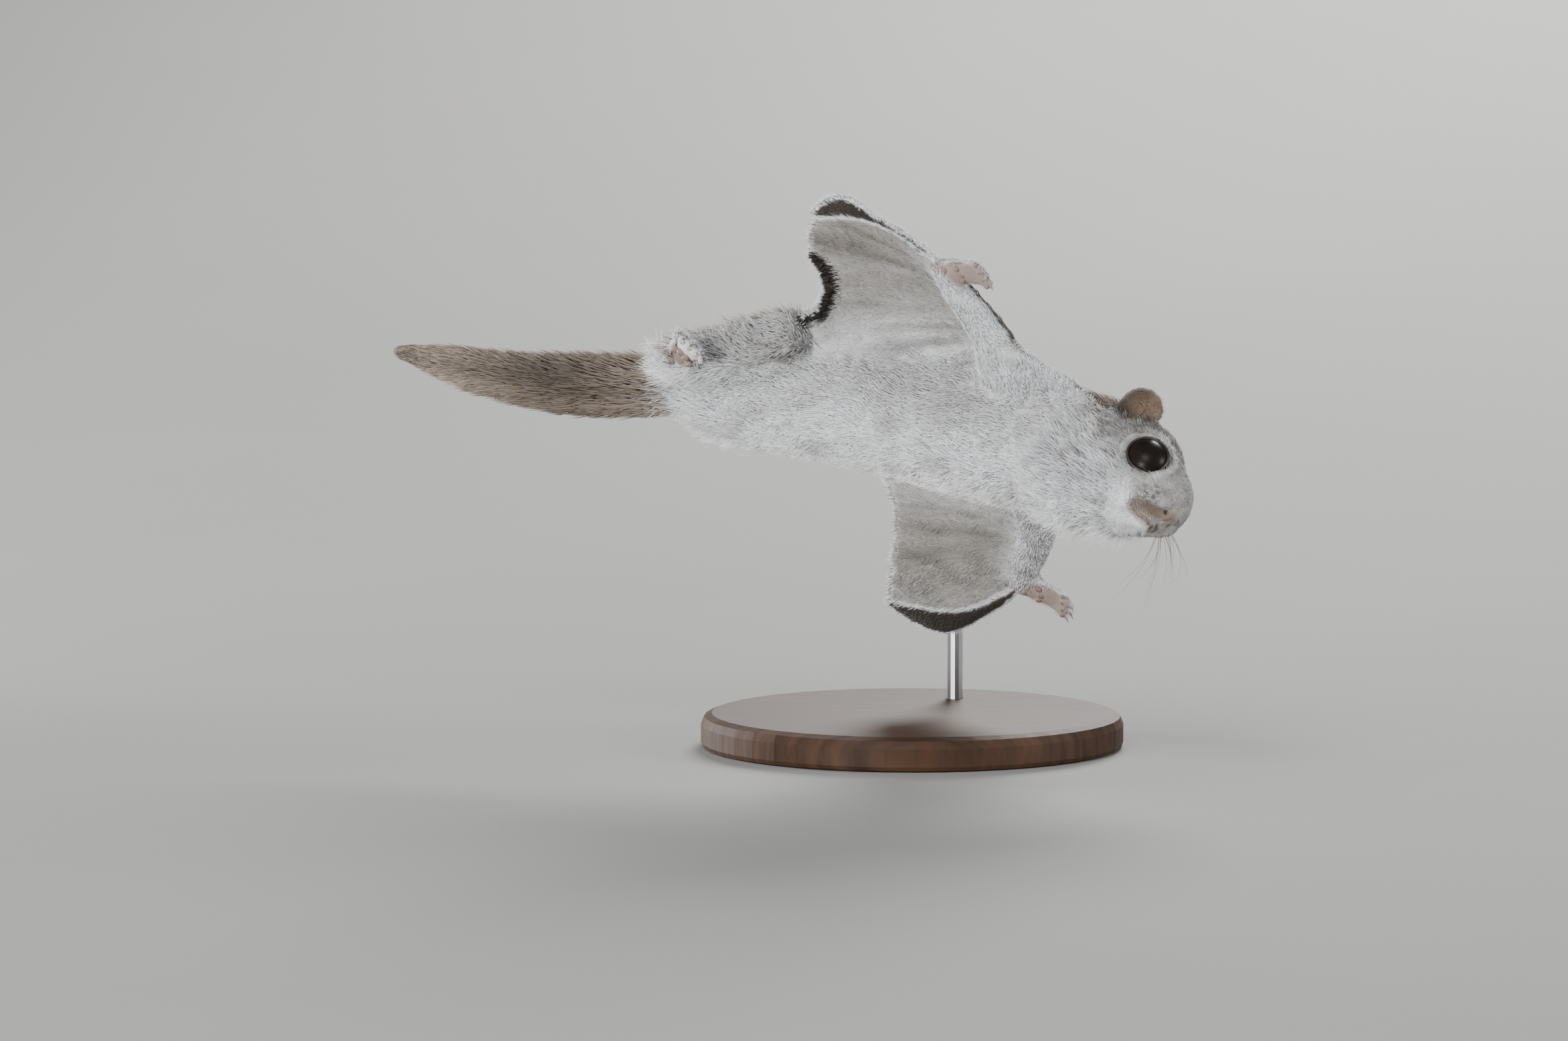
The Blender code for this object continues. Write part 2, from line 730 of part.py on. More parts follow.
def make_wing(name, side, grow=0.0):
    """The membrane from the flank out to the wrist and back to the knee."""
    span, chord = 12, SHEET_STEPS
    arm = flat_line(ARM_LINE, side, span)
    rear = flat_line(REAR_LINE[side], side, span)
    outer = flat_line(OUTER_LINE[side], side, chord)
    root = flat_line((ARM_LINE[0], (20.0, 12.0), REAR_LINE[side][0]), side, chord)
    grid = coons(arm, rear, root, outer)
    knee_drop = KNEE[side][2]
    for i in range(chord):
        s = i / (chord - 1)
        for j in range(span):
            t = j / (span - 1)
            lift = SHEET_BILLOW * math.sin(math.pi * min(1.0, t * 1.02)) * math.sin(
                math.pi * (0.12 + 0.78 * s))
            lift += knee_drop * s * s * (1 - t) ** 2
            grid[i][j].z += lift
    normals = grid_normals(grid, (0.0, 0.0, 1.0))
    for row in normals:
        row[-1] = Vector((0.0, 0.0, 1.0))
    wing = sheet(name, grid, normals, SHEET_THICK + 2 * grow, body_point)
    if grow:
        return wing
    cuts = [make_torso("cut", GAP), make_upper_arm("cut", side, GAP), make_forearm("cut", side, GAP),
            make_thigh("cut", side, GAP), make_shank("cut", side, GAP),
            make_palm("cut", side, GAP)]
    return combine(wing, cuts, "DIFFERENCE")


def make_fore_wing(name, side):
    """The membrane ahead of the arm, from the neck to the wrist."""
    count = 13
    arm = flat_line(ARM_LINE, side, count)
    lead = flat_line(tuple(reversed(LEAD_LINE)), side, count)[::-1]
    rows = 5
    grid = []
    for i in range(rows):
        s = i / (rows - 1)
        grid.append([arm[j] * (1 - s) + lead[j] * s for j in range(count)])
    normals = grid_normals(grid, (0.0, 0.0, 1.0))
    fore = sheet(name, grid, normals, FORE_THICK, body_point)
    cuts = [make_torso("cut", GAP), make_neck("cut", GAP), make_upper_arm("cut", side, GAP),
            make_forearm("cut", side, GAP), make_head_core("cut", GAP),
            make_palm("cut", side, GAP)]
    return combine(fore, cuts, "DIFFERENCE")


def make_wing_tip(name, side):
    """The flap beyond the wrist, turned up a little towards its rim."""
    count = SHEET_STEPS
    inner = flat_line(OUTER_LINE[side], side, count)
    rim = flat_line(RIM_LINE[side], side, count)
    rows = 4
    grid = []
    for i in range(rows):
        s = i / (rows - 1)
        row = []
        for j in range(count):
            along = inner[min(j + 1, count - 1)] - inner[max(j - 1, 0)]
            away = Vector((along.y, -along.x, 0.0)).normalized()
            if away.y * SIDES[side] < 0:
                away = -away
            near = inner[j] + away * GAP
            p = near.lerp(rim[j], s)
            p.z += TIP_RISE * s * s * min(1.0, (rim[j] - near).length / 8.0)
            row.append(p)
        grid.append(row)
    normals = grid_normals(grid, (0.0, 0.0, 1.0))
    normals[0] = [Vector((0.0, 0.0, 1.0))] * count
    return sheet(name, grid, normals, SHEET_THICK, body_point)


# The tail
def tail_at(f):
    """Middle, half width and half depth of the tail's outline at a forward place."""
    for a, b in zip(TAIL, TAIL[1:]):
        if f >= b[0]:
            t = min(1.0, max(0.0, (f - a[0]) / (b[0] - a[0])))
            return [x + (y - x) * t for x, y in zip(a[1:], b[1:])]
    return list(TAIL[-1][1:])


def make_lock(root_f, angle, length, width):
    """A flat tapered lock from the tail's core out to its outline, lying along it."""
    steps = 5
    verts = []
    faces = []
    for i in range(steps):
        t = i / (steps - 1)
        f = root_f - length * t
        left, up, wide, deep = tail_at(f)
        reach = LOCK_ROOT + (LOCK_TIP - LOCK_ROOT) * math.sin(min(1.0, t * 1.1) * math.pi / 2)
        out = Vector((0.0, math.cos(angle) * wide, math.sin(angle) * deep))
        across = Vector((0.0, -math.sin(angle) * wide, math.cos(angle) * deep)).normalized()
        middle = Vector((f, left, up)) + out * reach
        half = width * (0.62, 1.0, 0.9, 0.56, 0.08)[i] / 2
        thick = LOCK_THICK * (1.3, 1.2, 1.0, 0.75, 0.25)[i] / 2
        over = out.normalized()
        curl = min(half * 0.8, half * half / (wide + deep))
        verts += [middle + across * half - over * curl, middle + over * thick,
                  middle - across * half - over * curl, middle - over * (thick + curl * 0.5)]
    for i in range(steps - 1):
        for j in range(4):
            a = i * 4 + j
            b = i * 4 + (j + 1) % 4
            faces.append((a, b, b + 4, a + 4))
    faces.append((0, 1, 2, 3))
    last = (steps - 1) * 4
    faces.append((last, last + 1, last + 2, last + 3))
    return new_object("lock", verts, faces, body_point)


def make_tail(name):
    """A slim core with rings of overlapping locks out to the outline."""
    draw = random.Random(7)
    core = [(f, l, u, wide * CORE_SHARE, deep * CORE_SHARE) for f, l, u, wide, deep in TAIL]
    core[0] = TAIL[0]
    core[1] = (TAIL[1][0], TAIL[1][1], TAIL[1][2], TAIL[1][3] * 0.8, TAIL[1][4] * 0.8)
    tail = tube(name, core, body_point, sides=12, rings=14)
    tufts = bpy.data.collections.new("locks")
    for ring in range(LOCK_RINGS):
        share = ring / (LOCK_RINGS - 1)
        root = LOCK_FIRST + (LOCK_LAST - LOCK_FIRST) * share
        round_count = LOCKS_ROUND if ring < LOCK_RINGS - 2 else LOCKS_ROUND - 1
        for k in range(round_count):
            angle = 2 * math.pi * (k + 0.5 * (ring % 2)) / round_count + draw.uniform(-0.12, 0.12)
            length = (LOCK_LENGTH[0] + (LOCK_LENGTH[1] - LOCK_LENGTH[0]) * share)
            width = LOCK_WIDTH[0] + (LOCK_WIDTH[1] - LOCK_WIDTH[0]) * share
            lock = make_lock(root + draw.uniform(-2.0, 2.0), angle,
                             length * draw.uniform(0.92, 1.0), width)
            PARTS.objects.unlink(lock)
            tufts.objects.link(lock)
    fuse(tail, tufts)
    cuts = [make_torso("cut", GAP)]
    for side in SIDES:
        cuts.append(make_sole("cut", side, GAP))
        cuts.append(make_shank("cut", side, GAP))
    return combine(tail, cuts, "DIFFERENCE")


# The stand
def make_base(name):
    """A turned disc with rounded edges."""
    profile = [(0.0, 0.0), (BASE_RADIUS - BASE_ROUND, 0.0)]
    for k in range(1, 3):
        a = math.pi / 2 * k / 2
        profile.append((BASE_RADIUS - BASE_ROUND + BASE_ROUND * math.sin(a),
                        BASE_ROUND - BASE_ROUND * math.cos(a)))
    for k in range(0, 3):
        a = math.pi / 2 * k / 2
        profile.append((BASE_RADIUS - 2 * BASE_ROUND + 2 * BASE_ROUND * math.cos(a),
                        BASE_HEIGHT - 2 * BASE_ROUND + 2 * BASE_ROUND * math.sin(a)))
    profile.append((0.0, BASE_HEIGHT))
    around = 44
    verts = []
    faces = []
    rings = profile[1:-1]
    for r, z in rings:
        for j in range(around):
            a = 2 * math.pi * j / around
            verts.append(Vector((r * math.cos(a), r * math.sin(a), z)))
    for i in range(len(rings) - 1):
        for j in range(around):
            a = i * around + j
            b = i * around + (j + 1) % around
            faces.append((a, b, b + around, a + around))
    faces.append(tuple(range(around)))
    faces.append(tuple((len(rings) - 1) * around + j for j in range(around)))
    base = new_object(name, verts, faces, stand_point)
    return combine(base, [make_rod("cut", GAP)], "DIFFERENCE")


def make_rod(name, grow=0.0):
    """A bent steel rod from the base to the back."""
    line = spline(ROD_PATH, 16)
    path = [(p.x, p.y, p.z, ROD_RADIUS, ROD_RADIUS) for p in line]
    return tube(name, path, stand_point, up=(1.0, 0.0, 0.0), sides=12, rings=16, grow=grow, ends=0.3)


# Materials
SLOTS = {
    "coat_white": (0.74, 0.75, 0.76),
    "coat_grey": (0.42, 0.40, 0.38),
    "membrane": (0.40, 0.39, 0.38),
    "tail_hair": (0.33, 0.29, 0.25),
    "ear_skin": (0.40, 0.31, 0.26),
    "paw_skin": (0.46, 0.38, 0.34),
    "eye_dark": (0.010, 0.009, 0.008),
    "stand_wood": (0.09, 0.055, 0.035),
    "stand_steel": (0.55, 0.55, 0.56),
}
ROUGHNESS = {"eye_dark": 0.05, "stand_wood": 0.35, "stand_steel": 0.3}


def material(name):
    made = bpy.data.materials.new(name)
    made.use_nodes = True
    shader = made.node_tree.nodes["Principled BSDF"]
    shader.inputs["Base Color"].default_value = (*SLOTS[name], 1.0)
    shader.inputs["Roughness"].default_value = ROUGHNESS.get(name, 0.85)
    shader.inputs["Metallic"].default_value = 1.0 if name == "stand_steel" else 0.0
    return made


def finish(obj, slot):
    """Triangulate, smooth and give the part its material."""
    bm = bmesh.new()
    bm.from_mesh(obj.data)
    bmesh.ops.triangulate(bm, faces=bm.faces)
    bm.to_mesh(obj.data)
    bm.free()
    for face in obj.data.polygons:
        face.use_smooth = True
    obj.data.materials.clear()
    obj.data.materials.append(MATERIALS[slot])


def build():
    torso = make_torso("torso")
    combine(torso, [make_rod("cut", GAP)], "DIFFERENCE")
    finish(torso, "coat_white")

    neck = make_neck("neck")
    combine(neck, [make_torso("cut", GAP)], "DIFFERENCE")
    finish(neck, "coat_white")

    head = make_head("head")
    finish(head, "coat_white")

    for side in SIDES:
        eye = make_eye("eye_" + side, side)
        finish(eye, "eye_dark")
        ear = make_ear("ear_" + side, side)
        combine(ear, [make_neck("cut", GAP), make_head_core("cut", GAP * 1.5)], "DIFFERENCE")
        finish(ear, "ear_skin")

        upper = make_upper_arm("upper_arm_" + side, side)
        combine(upper, [make_torso("cut", GAP), make_neck("cut", GAP)], "DIFFERENCE")
        finish(upper, "coat_white")
        fore = make_forearm("forearm_" + side, side)
        combine(fore, [make_upper_arm("cut", side, GAP)], "DIFFERENCE")
        finish(fore, "coat_white")
        hand = make_hand("hand_" + side, side)
        finish(hand, "paw_skin")

        thigh = make_thigh("thigh_" + side, side)
        combine(thigh, [make_torso("cut", GAP)], "DIFFERENCE")
        finish(thigh, "coat_white")
        shank = make_shank("shank_" + side, side)
        combine(shank, [make_thigh("cut", side, GAP), make_torso("cut", GAP)], "DIFFERENCE")
        finish(shank, "coat_white")
        foot = make_foot("foot_" + side, side)
        combine(foot, [make_torso("cut", GAP), make_thigh("cut", side, GAP)], "DIFFERENCE")
        finish(foot, "paw_skin")

        wing = make_wing("wing_" + side, side)
        finish(wing, "membrane")
        fore = make_fore_wing("fore_wing_" + side, side)
        finish(fore, "coat_grey")
        tip = make_wing_tip("wing_tip_" + side, side)
        combine(tip, [make_forearm("cut", side, GAP), make_palm("cut", side, GAP)],
                "DIFFERENCE")
        finish(tip, "membrane")

    tail = make_tail("tail")
    finish(tail, "tail_hair")

    base = make_base("stand_base")
    finish(base, "stand_wood")
    rod = make_rod("stand_rod")
    finish(rod, "stand_steel")


for old in list(bpy.data.objects):
    bpy.data.objects.remove(old)
PARTS = bpy.data.collections.new("flying_squirrel")
bpy.context.scene.collection.children.link(PARTS)
random.seed(11)
MATERIALS = {name: material(name) for name in SLOTS}
build()
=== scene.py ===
"""Looks of the flying squirrel on its display stand: skin, coat, eyes, claws, whiskers, stand."""
import math

import bpy
import numpy as np
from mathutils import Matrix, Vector, kdtree


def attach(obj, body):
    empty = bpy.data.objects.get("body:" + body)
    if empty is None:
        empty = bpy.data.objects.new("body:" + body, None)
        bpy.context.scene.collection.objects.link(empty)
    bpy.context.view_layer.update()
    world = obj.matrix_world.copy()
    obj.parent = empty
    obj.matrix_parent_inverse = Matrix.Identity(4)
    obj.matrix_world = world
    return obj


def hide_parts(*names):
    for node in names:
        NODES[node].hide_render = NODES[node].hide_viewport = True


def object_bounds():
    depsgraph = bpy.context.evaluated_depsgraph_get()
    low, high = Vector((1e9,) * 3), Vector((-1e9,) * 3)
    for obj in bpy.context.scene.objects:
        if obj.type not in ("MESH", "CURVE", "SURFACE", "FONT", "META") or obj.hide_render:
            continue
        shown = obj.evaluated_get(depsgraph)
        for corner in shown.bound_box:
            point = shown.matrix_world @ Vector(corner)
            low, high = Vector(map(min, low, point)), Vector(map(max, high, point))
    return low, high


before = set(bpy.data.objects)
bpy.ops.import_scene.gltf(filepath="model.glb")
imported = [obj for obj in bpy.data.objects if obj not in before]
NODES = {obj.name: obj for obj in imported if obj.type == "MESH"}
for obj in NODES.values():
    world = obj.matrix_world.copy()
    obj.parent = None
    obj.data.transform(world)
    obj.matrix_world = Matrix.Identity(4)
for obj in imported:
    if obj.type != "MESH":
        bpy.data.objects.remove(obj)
cad_low, cad_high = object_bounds()
MM = 0.001
RNG = np.random.default_rng(11)
MUCH = 1.0      # share of the coat's tufts that are made
LIMIT = 195000                          # triangles in one piece of the coat
BODY_VOXEL, HEAD_VOXEL = 0.97, 0.49     # millimetres
SKIN_TONE, ROOT_SHADE_TONE = 0.94, 0.84       # of the coat's colour; the darker roots are painted shade down among the tufts
WHISKER_REACH = 0.003                   # metres past the solids' box on the near side


def vec(*numbers):
    return np.array(numbers, dtype=float)


# The animal's frame over the floor: forward, left and up, in millimetres
HOVER = vec(-19.0, -30.0, 103.0)
HEADING, PITCH, BANK = (math.radians(a) for a in (-27.5, -6.0, -53.8))
FORWARD = Vector((math.cos(PITCH) * math.cos(HEADING), math.cos(PITCH) * math.sin(HEADING),
                  math.sin(PITCH)))
LEVEL = Vector((-math.sin(HEADING), math.cos(HEADING), 0.0))
LEFT = LEVEL * math.cos(BANK) + FORWARD.cross(LEVEL) * math.sin(BANK)
AXES = np.array((FORWARD, LEFT, FORWARD.cross(LEFT)))

# The head's frame: towards the nose, left and crown, from between the eyes
HEAD_PLACE = vec(105.0, 0.0, -8.4)
HEAD_PITCH = math.radians(-34.0)
TURN = np.array(((math.cos(HEAD_PITCH), 0, math.sin(HEAD_PITCH)), (0, 1, 0),
                 (-math.sin(HEAD_PITCH), 0, math.cos(HEAD_PITCH))))
EYE = vec(-0.3, 9.5, -3.2)
EYE_SIZE = vec(7.0, 5.2, 6.2)
EYE_AXIS = vec(0.32, 1.0, 0.06) / math.hypot(0.32, 1.0, 0.06)
LID_ANGLE = math.radians(67)
NOSE = vec(15.2, 0.0, -7.4)
NOSTRIL = vec(15.5, 2.3, -7.9)
MOUTH = vec((7.6, 8.6, -13.6), (9.4, 6.4, -14.8), (11.6, 3.8, -14.8), (13.4, 1.9, -13.4),
            (14.0, 0, -12.8))
BARE = vec((10.2, 6.0, -14.2), (12.0, 5.0, -12.8), (13.6, 4.0, -11.2), (15.0, 2.4, -8.8),
           (15.6, 0.6, -7.0))
EAR_BASE = vec(-17.2, 9.5, -2.0)
EAR_TIP = vec(-14.6, 16.5, 10.6)
EAR_OPEN = vec(0.8, 0.58, -0.1)
SOLE = {-1: vec(-0.32, 0.12, -0.94), 1: vec(0.1, 0.6, -0.8)}
ANKLE = {-1: vec(-48.0, -16.5, -11.0), 1: vec(-46.0, 13.0, 9.0)}
TOES = {-1: vec(-34.7, -32.8, -17.6), 1: vec(-66.0, 21.0, 18.0)}
MID_FOOT = {side: (ANKLE[side] + TOES[side]) / 2 for side in (-1, 1)}
FOOT_LAY = {side: TOES[side] - ANKLE[side] + 9 * SOLE[side] for side in (-1, 1)}
WRIST = vec(43.5, 60.0, 0.0)
ARM = vec((57.0, 14, 0), (54, 37, 0), (43.5, 60, 0))
FOLD = vec((-30, -25, -6.0), (-16, -23.6, -6), (-2, -23.4, -6))

# The tail's middle line: forward, left, up, half width, half depth
TAIL = vec((-40, .5, 0, 5, 5), (-46, 1, -.5, 7, 6), (-52, 1.5, -1, 9, 7.5),
           (-62, 2.8, -2.4, 10, 7.5), (-76, 4, -4.2, 10.5, 7), (-92, 5, -5.6, 10.2, 6.5),
           (-106, 5.4, -6.2, 8.6, 5.4), (-120, 5.2, -5.6, 7.4, 4.6),
           (-134, 4.8, -4.6, 5.8, 3.8), (-144, 4.4, -4, 3.8, 2.6), (-150, 4.2, -3.6, 1.6, 1.2))


def to_world(p):
    return (HOVER + np.asarray(p) @ AXES) * MM


def to_body(p):
    return (np.asarray(p) / MM - HOVER) @ AXES.T


def head_to_body(p):
    return HEAD_PLACE + np.asarray(p) @ TURN


def body_to_head(p):
    return (np.asarray(p) - HEAD_PLACE) @ TURN.T


def columns(*parts):
    """Arrays side by side; a single number counts for every row."""
    return np.stack(np.broadcast_arrays(*parts), axis=1)


def round_angles(count):
    return np.linspace(0, 2 * math.pi, count, endpoint=False)


def norm(v):
    return np.linalg.norm(v, axis=-1)


def unit(v):
    return v / np.maximum(np.linalg.norm(v, axis=-1, keepdims=True), 1e-9)


def step(low, high, x):
    t = np.clip((x - low) / (high - low), 0, 1)
    return t * t * (3 - 2 * t)


def linear(*rgb):
    c = np.array(rgb) / 255.0
    return np.where(c < 0.04045, c / 12.92, ((c + 0.055) / 1.055) ** 2.4)


def waves(p, size, seed):
    """A soft wandering field between about -1 and 1, with bumps of the given size."""
    r = np.random.default_rng(seed)
    total = np.zeros(len(p))
    for _ in range(7):
        k = r.normal(size=3) * 2.2 / size
        total += np.sin(p @ k + r.uniform(0, 6.28))
    return total / 3.0


# Materials
def added(tree, kind, **values):
    """A new shader node with the values of its inputs."""
    node = tree.nodes.new("ShaderNode" + kind)
    for name, value in values.items():
        node.inputs[name].default_value = value
    return node


def noise_link(tree, scale, detail, stretch=(1, 1, 1)):
    """Noise over the piece's own coordinates."""
    coords = added(tree, "TexCoord")
    mapping = added(tree, "Mapping", Scale=stretch)
    noise = added(tree, "TexNoise", Scale=scale, Detail=detail)
    tree.links.new(coords.outputs["Object"], mapping.inputs["Vector"])
    tree.links.new(mapping.outputs["Vector"], noise.inputs["Vector"])
    return noise


def bump(tree, shader, source, strength, distance):
    node = added(tree, "Bump", Strength=strength, Distance=distance)
    tree.links.new(source, node.inputs["Height"])
    tree.links.new(node.outputs["Normal"], shader.inputs["Normal"])


def toned(tree, shader, noise, dark, light, low=0.3, high=0.7):
    """The base colour goes from dark to light with the noise."""
    ramp = added(tree, "ValToRGB")
    for element, colour, place in zip(ramp.color_ramp.elements, (dark, light), (low, high)):
        element.color = (*colour, 1)
        element.position = place
    tree.links.new(noise.outputs["Fac"], ramp.inputs["Fac"])
    tree.links.new(ramp.outputs["Color"], shader.inputs["Base Color"])


def start(name, roughness):
    """A new material, its node tree and its shader."""
    made = bpy.data.materials.new(name)
    made.use_nodes = True
    shader = made.node_tree.nodes["Principled BSDF"]
    shader.inputs["Roughness"].default_value = roughness
    return made, made.node_tree, shader


def painted(name, roughness, sheen, grain, bump_scale, bump_depth):
    """Colour from the coat's own markings and painted light and shade, broken up by a fine grain."""
    made, tree, shader = start(name, roughness)
    shader.inputs["Sheen Weight"].default_value = sheen
    shader.inputs["Sheen Roughness"].default_value = 0.5
    shader.inputs["Specular IOR Level"].default_value = 0.25
    marks = added(tree, "Attribute")
    marks.attribute_name = "Coat"
    noise = noise_link(tree, bump_scale, 4)
    ramp = added(tree, "MapRange", **{"To Min": 1 - grain, "To Max": 1 + grain})
    mix = added(tree, "VectorMath")
    mix.operation = "SCALE"
    tree.links.new(noise.outputs["Fac"], ramp.inputs["Value"])
    tree.links.new(marks.outputs["Color"], mix.inputs[0])
    tree.links.new(ramp.outputs["Result"], mix.inputs["Scale"])
    tree.links.new(mix.outputs["Vector"], shader.inputs["Base Color"])
    bump(tree, shader, noise.outputs["Fac"], 0.6, bump_depth)
    return made


def two_tone(name, dark, light, roughness, scale, stretch=(1, 1, 1), depth=0.0002, metallic=0.0):
    """A finish that wanders between two sRGB colours."""
    made, tree, shader = start(name, roughness)
    shader.inputs["Metallic"].default_value = metallic
    noise = noise_link(tree, scale, 5, stretch=stretch)
    toned(tree, shader, noise, linear(*dark), linear(*light))
    bump(tree, shader, noise.outputs["Fac"], 0.4, depth)
    return made


SKIN = painted("skin_under_coat", 0.8, 0.05, 0.10, 900, 0.0002)
FUR = painted("coat", 0.7, 0.12, 0.07, 600, 0.0001)


# Meshes
def placed(name, data):
    """A new object in the scene."""
    obj = bpy.data.objects.new(name, data)
    bpy.context.scene.collection.objects.link(obj)
    return obj


def paint(mesh, colour):
    """The coat's colour at every point, which its materials read."""
    rgba = np.ones((len(colour), 4), dtype=np.float32)
    rgba[:, :3] = colour
    layer = mesh.color_attributes.new("Coat", "FLOAT_COLOR", "POINT")
    layer.data.foreach_set("color", rgba.ravel())


def make_mesh(name, verts, faces, material, colour=None, uv=None):
    """A mesh piece from world metres and triangles or quads."""
    mesh = bpy.data.meshes.new(name)
    faces = np.asarray(faces)
    sides = faces.shape[1]
    mesh.vertices.add(len(verts))
    mesh.vertices.foreach_set("co", np.asarray(verts, dtype=np.float32).ravel())
    mesh.loops.add(faces.size)
    mesh.loops.foreach_set("vertex_index", faces.astype(np.int32).ravel())
    mesh.polygons.add(len(faces))
    mesh.polygons.foreach_set("loop_start", np.arange(0, faces.size, sides, dtype=np.int32))
    mesh.polygons.foreach_set("use_smooth", np.full(len(faces), True))
    mesh.update(calc_edges=True)
    if uv is not None:
        layer = mesh.uv_layers.new(name="OFBake")
        layer.data.foreach_set("uv", np.asarray(uv, dtype=np.float32)[faces.ravel()].ravel())
    if colour is not None:
        paint(mesh, np.clip(colour, 0, 1))
    mesh.materials.append(material)
    return placed(name, mesh)


def read(items, name, width, kind=np.float32):
    """One attribute of a mesh's points, edges, corners or triangles, with a row for each."""
    out = np.empty(len(items) * width, dtype=kind)
    items.foreach_get(name, out)
    return out.reshape(-1, width)


def points(mesh):
    return read(mesh.vertices, "co", 3).astype(float)


def normals(mesh):
    return read(mesh.vertex_normals, "vector", 3).astype(float)


def triangles(mesh):
    mesh.calc_loop_triangles()
    return read(mesh.loop_triangles, "vertices", 3, np.int32)


def edges(mesh):
    return read(mesh.edges, "vertices", 2, np.int32)


def tube(rows, sides):
    """Quads between closed rings of points, row by row."""
    i, j = np.divmod(np.arange((rows - 1) * sides), sides)
    p, q = i * sides + j, i * sides + (j + 1) % sides
    return columns(p, q, q + sides, p + sides)


def sphere(rows, sides, low):
    """A ball's points, row by row; each pole is open by the angle low."""
    a = np.linspace(low, math.pi - low, rows)[:, None]
    b = round_angles(sides)[None]
    return np.stack([np.sin(a) * np.cos(b), np.sin(a) * np.sin(b), np.cos(a) + 0 * b], axis=2).reshape(-1, 3)


def halves(quads):
    """Both triangles of every quad."""
    return quads[:, [0, 1, 2, 0, 2, 3]].reshape(-1, 3)


def tree_of(spots):
    """A tree that finds the number of the nearest spot."""
    tree = kdtree.KDTree(len(spots))
    for number, spot in enumerate(spots):
        tree.insert(spot, number)
    tree.balance()
    return tree


def relax(values, pairs, rounds, amount=0.6):
    """Every point's value moves towards its neighbours' mean; amount may differ by point."""
    a, b = pairs.T
    count = np.bincount(a, minlength=len(values)) + np.bincount(b, minlength=len(values))
    count = np.maximum(count, 1)[:, None]
    flat = values.reshape(len(values), -1).copy()
    share = np.asarray(amount).reshape(-1, 1) if np.ndim(amount) else amount
    for _ in range(rounds):
        mean = columns(*[np.bincount(a, flat[b, k], len(flat)) + np.bincount(b, flat[a, k], len(flat))
                         for k in range(flat.shape[1])]) / count
        flat += (mean - flat) * share
    return flat.reshape(values.shape)


# Regions of the skin, each from the nodes that it stands for
LIMBS = {"thigh": ("thigh",), "shank": ("shank",), "arm": ("upper_arm", "forearm"), "hand": ("hand",),
         "foot": ("foot",), "wing": ("wing",), "fore": ("fore_wing",), "tip": ("wing_tip",),
         "ear": ("ear",)}
REGIONS = {"body": ("torso", "neck"), "head": ("head",)}
for region, names in LIMBS.items():
    REGIONS[region] = tuple(f"{name}_{side}" for name in names for side in ("right", "left"))
ORDER = list(REGIONS)
GROW = {"hand": 0.25, "foot": 0.25, "ear": 0.2, "tip": 0.3, "wing": 0.35, "fore": 0.35}
# how far the skin lies inside the solids
DEPTH = {"body": 1.1, "head": 0.6, "thigh": 1.1, "shank": 1.0, "arm": 0.6, "hand": 0.1,
         "foot": 0.3, "wing": 0.3, "fore": 0.35, "tip": 0.3, "ear": 0.1}


def welded(node):
    """Points, normals and triangles of a node, with its split corners joined."""
    source = NODES[node].data
    verts, faces = points(source), triangles(source)
    _, first, back = np.unique(np.round(verts / 2e-6).astype(np.int64), axis=0,
                               return_index=True, return_inverse=True)
    back = back.ravel()
    verts, faces = verts[first], back[faces]
    a, b, c = verts[faces.T]
    cross = np.cross(b - a, c - a)
    total = columns(*[sum(np.bincount(faces[:, i], cross[:, k], len(verts)) for i in range(3))
                      for k in range(3)])
    return verts, unit(total), faces


def tail_core():
    """The tail's own flesh, half way out to its tips."""
    rows, sides = 40, 20
    t = np.linspace(0, len(TAIL) - 1, rows)
    at = columns(*[np.interp(t, np.arange(len(TAIL)), TAIL[:, k]) for k in range(5)])
    turn = round_angles(sides)
    verts = [(r[0], r[1] + math.cos(a) * r[3] * .5, r[2] + math.sin(a) * r[4] * .5)
             for r in at for a in turn]
    j = np.arange(1, sides - 1)
    fan = columns(0, j + 1, j)
    faces = np.concatenate([halves(tube(rows, sides)), fan, (rows - 1) * sides + fan[:, ::-1]])
    verts = to_world(np.array(verts))
    return verts, np.zeros_like(verts), faces


def melt(voxel, parts):
    """The parts, a little grown, as one closed surface of even faces."""
    grown, joined, total = [], [], 0
    for name, verts, norms, faces in parts:
        grown += [verts + norms * GROW.get(name, 0.4) * MM]
        joined += [faces + total]
        total += len(verts)
    obj = make_mesh("melting", np.concatenate(grown), np.concatenate(joined), SKIN)
    remesh = obj.modifiers.new("melt", "REMESH")
    remesh.mode = "VOXEL"
    remesh.voxel_size = voxel * MM
    graph = bpy.context.evaluated_depsgraph_get()
    made = bpy.data.meshes.new_from_object(obj.evaluated_get(graph))
    bpy.data.objects.remove(obj)
    return made


def region_weights(verts, pairs, parts):
    """Soft share of each region at every point."""
    spots, labels = [], []
    for name, v, _, f in parts:
        centres = v[f].mean(axis=1)
        spots += [v, centres, (v[f[:, 0]] + centres) / 2, (v[f[:, 1]] + centres) / 2]
        labels += [ORDER.index(name)] * (len(v) + 3 * len(f))
    tree = tree_of(np.concatenate(spots))
    label = np.array([labels[tree.find(p)[1]] for p in verts])
    return relax(np.eye(len(ORDER))[label], pairs, 4)


def share(weights, *names):
    return sum(weights[:, ORDER.index(n)] for n in names)


# Markings with painted light and shade, the same for the skin and the coat
WHITE = linear(236, 237, 239)
PALE = linear(182, 181, 180)
GREY = linear(150, 146, 141)
SMOKE = linear(112, 105, 98)
BACK = linear(122, 111, 98)
BAND = linear(50, 43, 36)
PINK = linear(132, 110, 98)
TAN = linear(134, 113, 97)
DARK = linear(38, 33, 29)


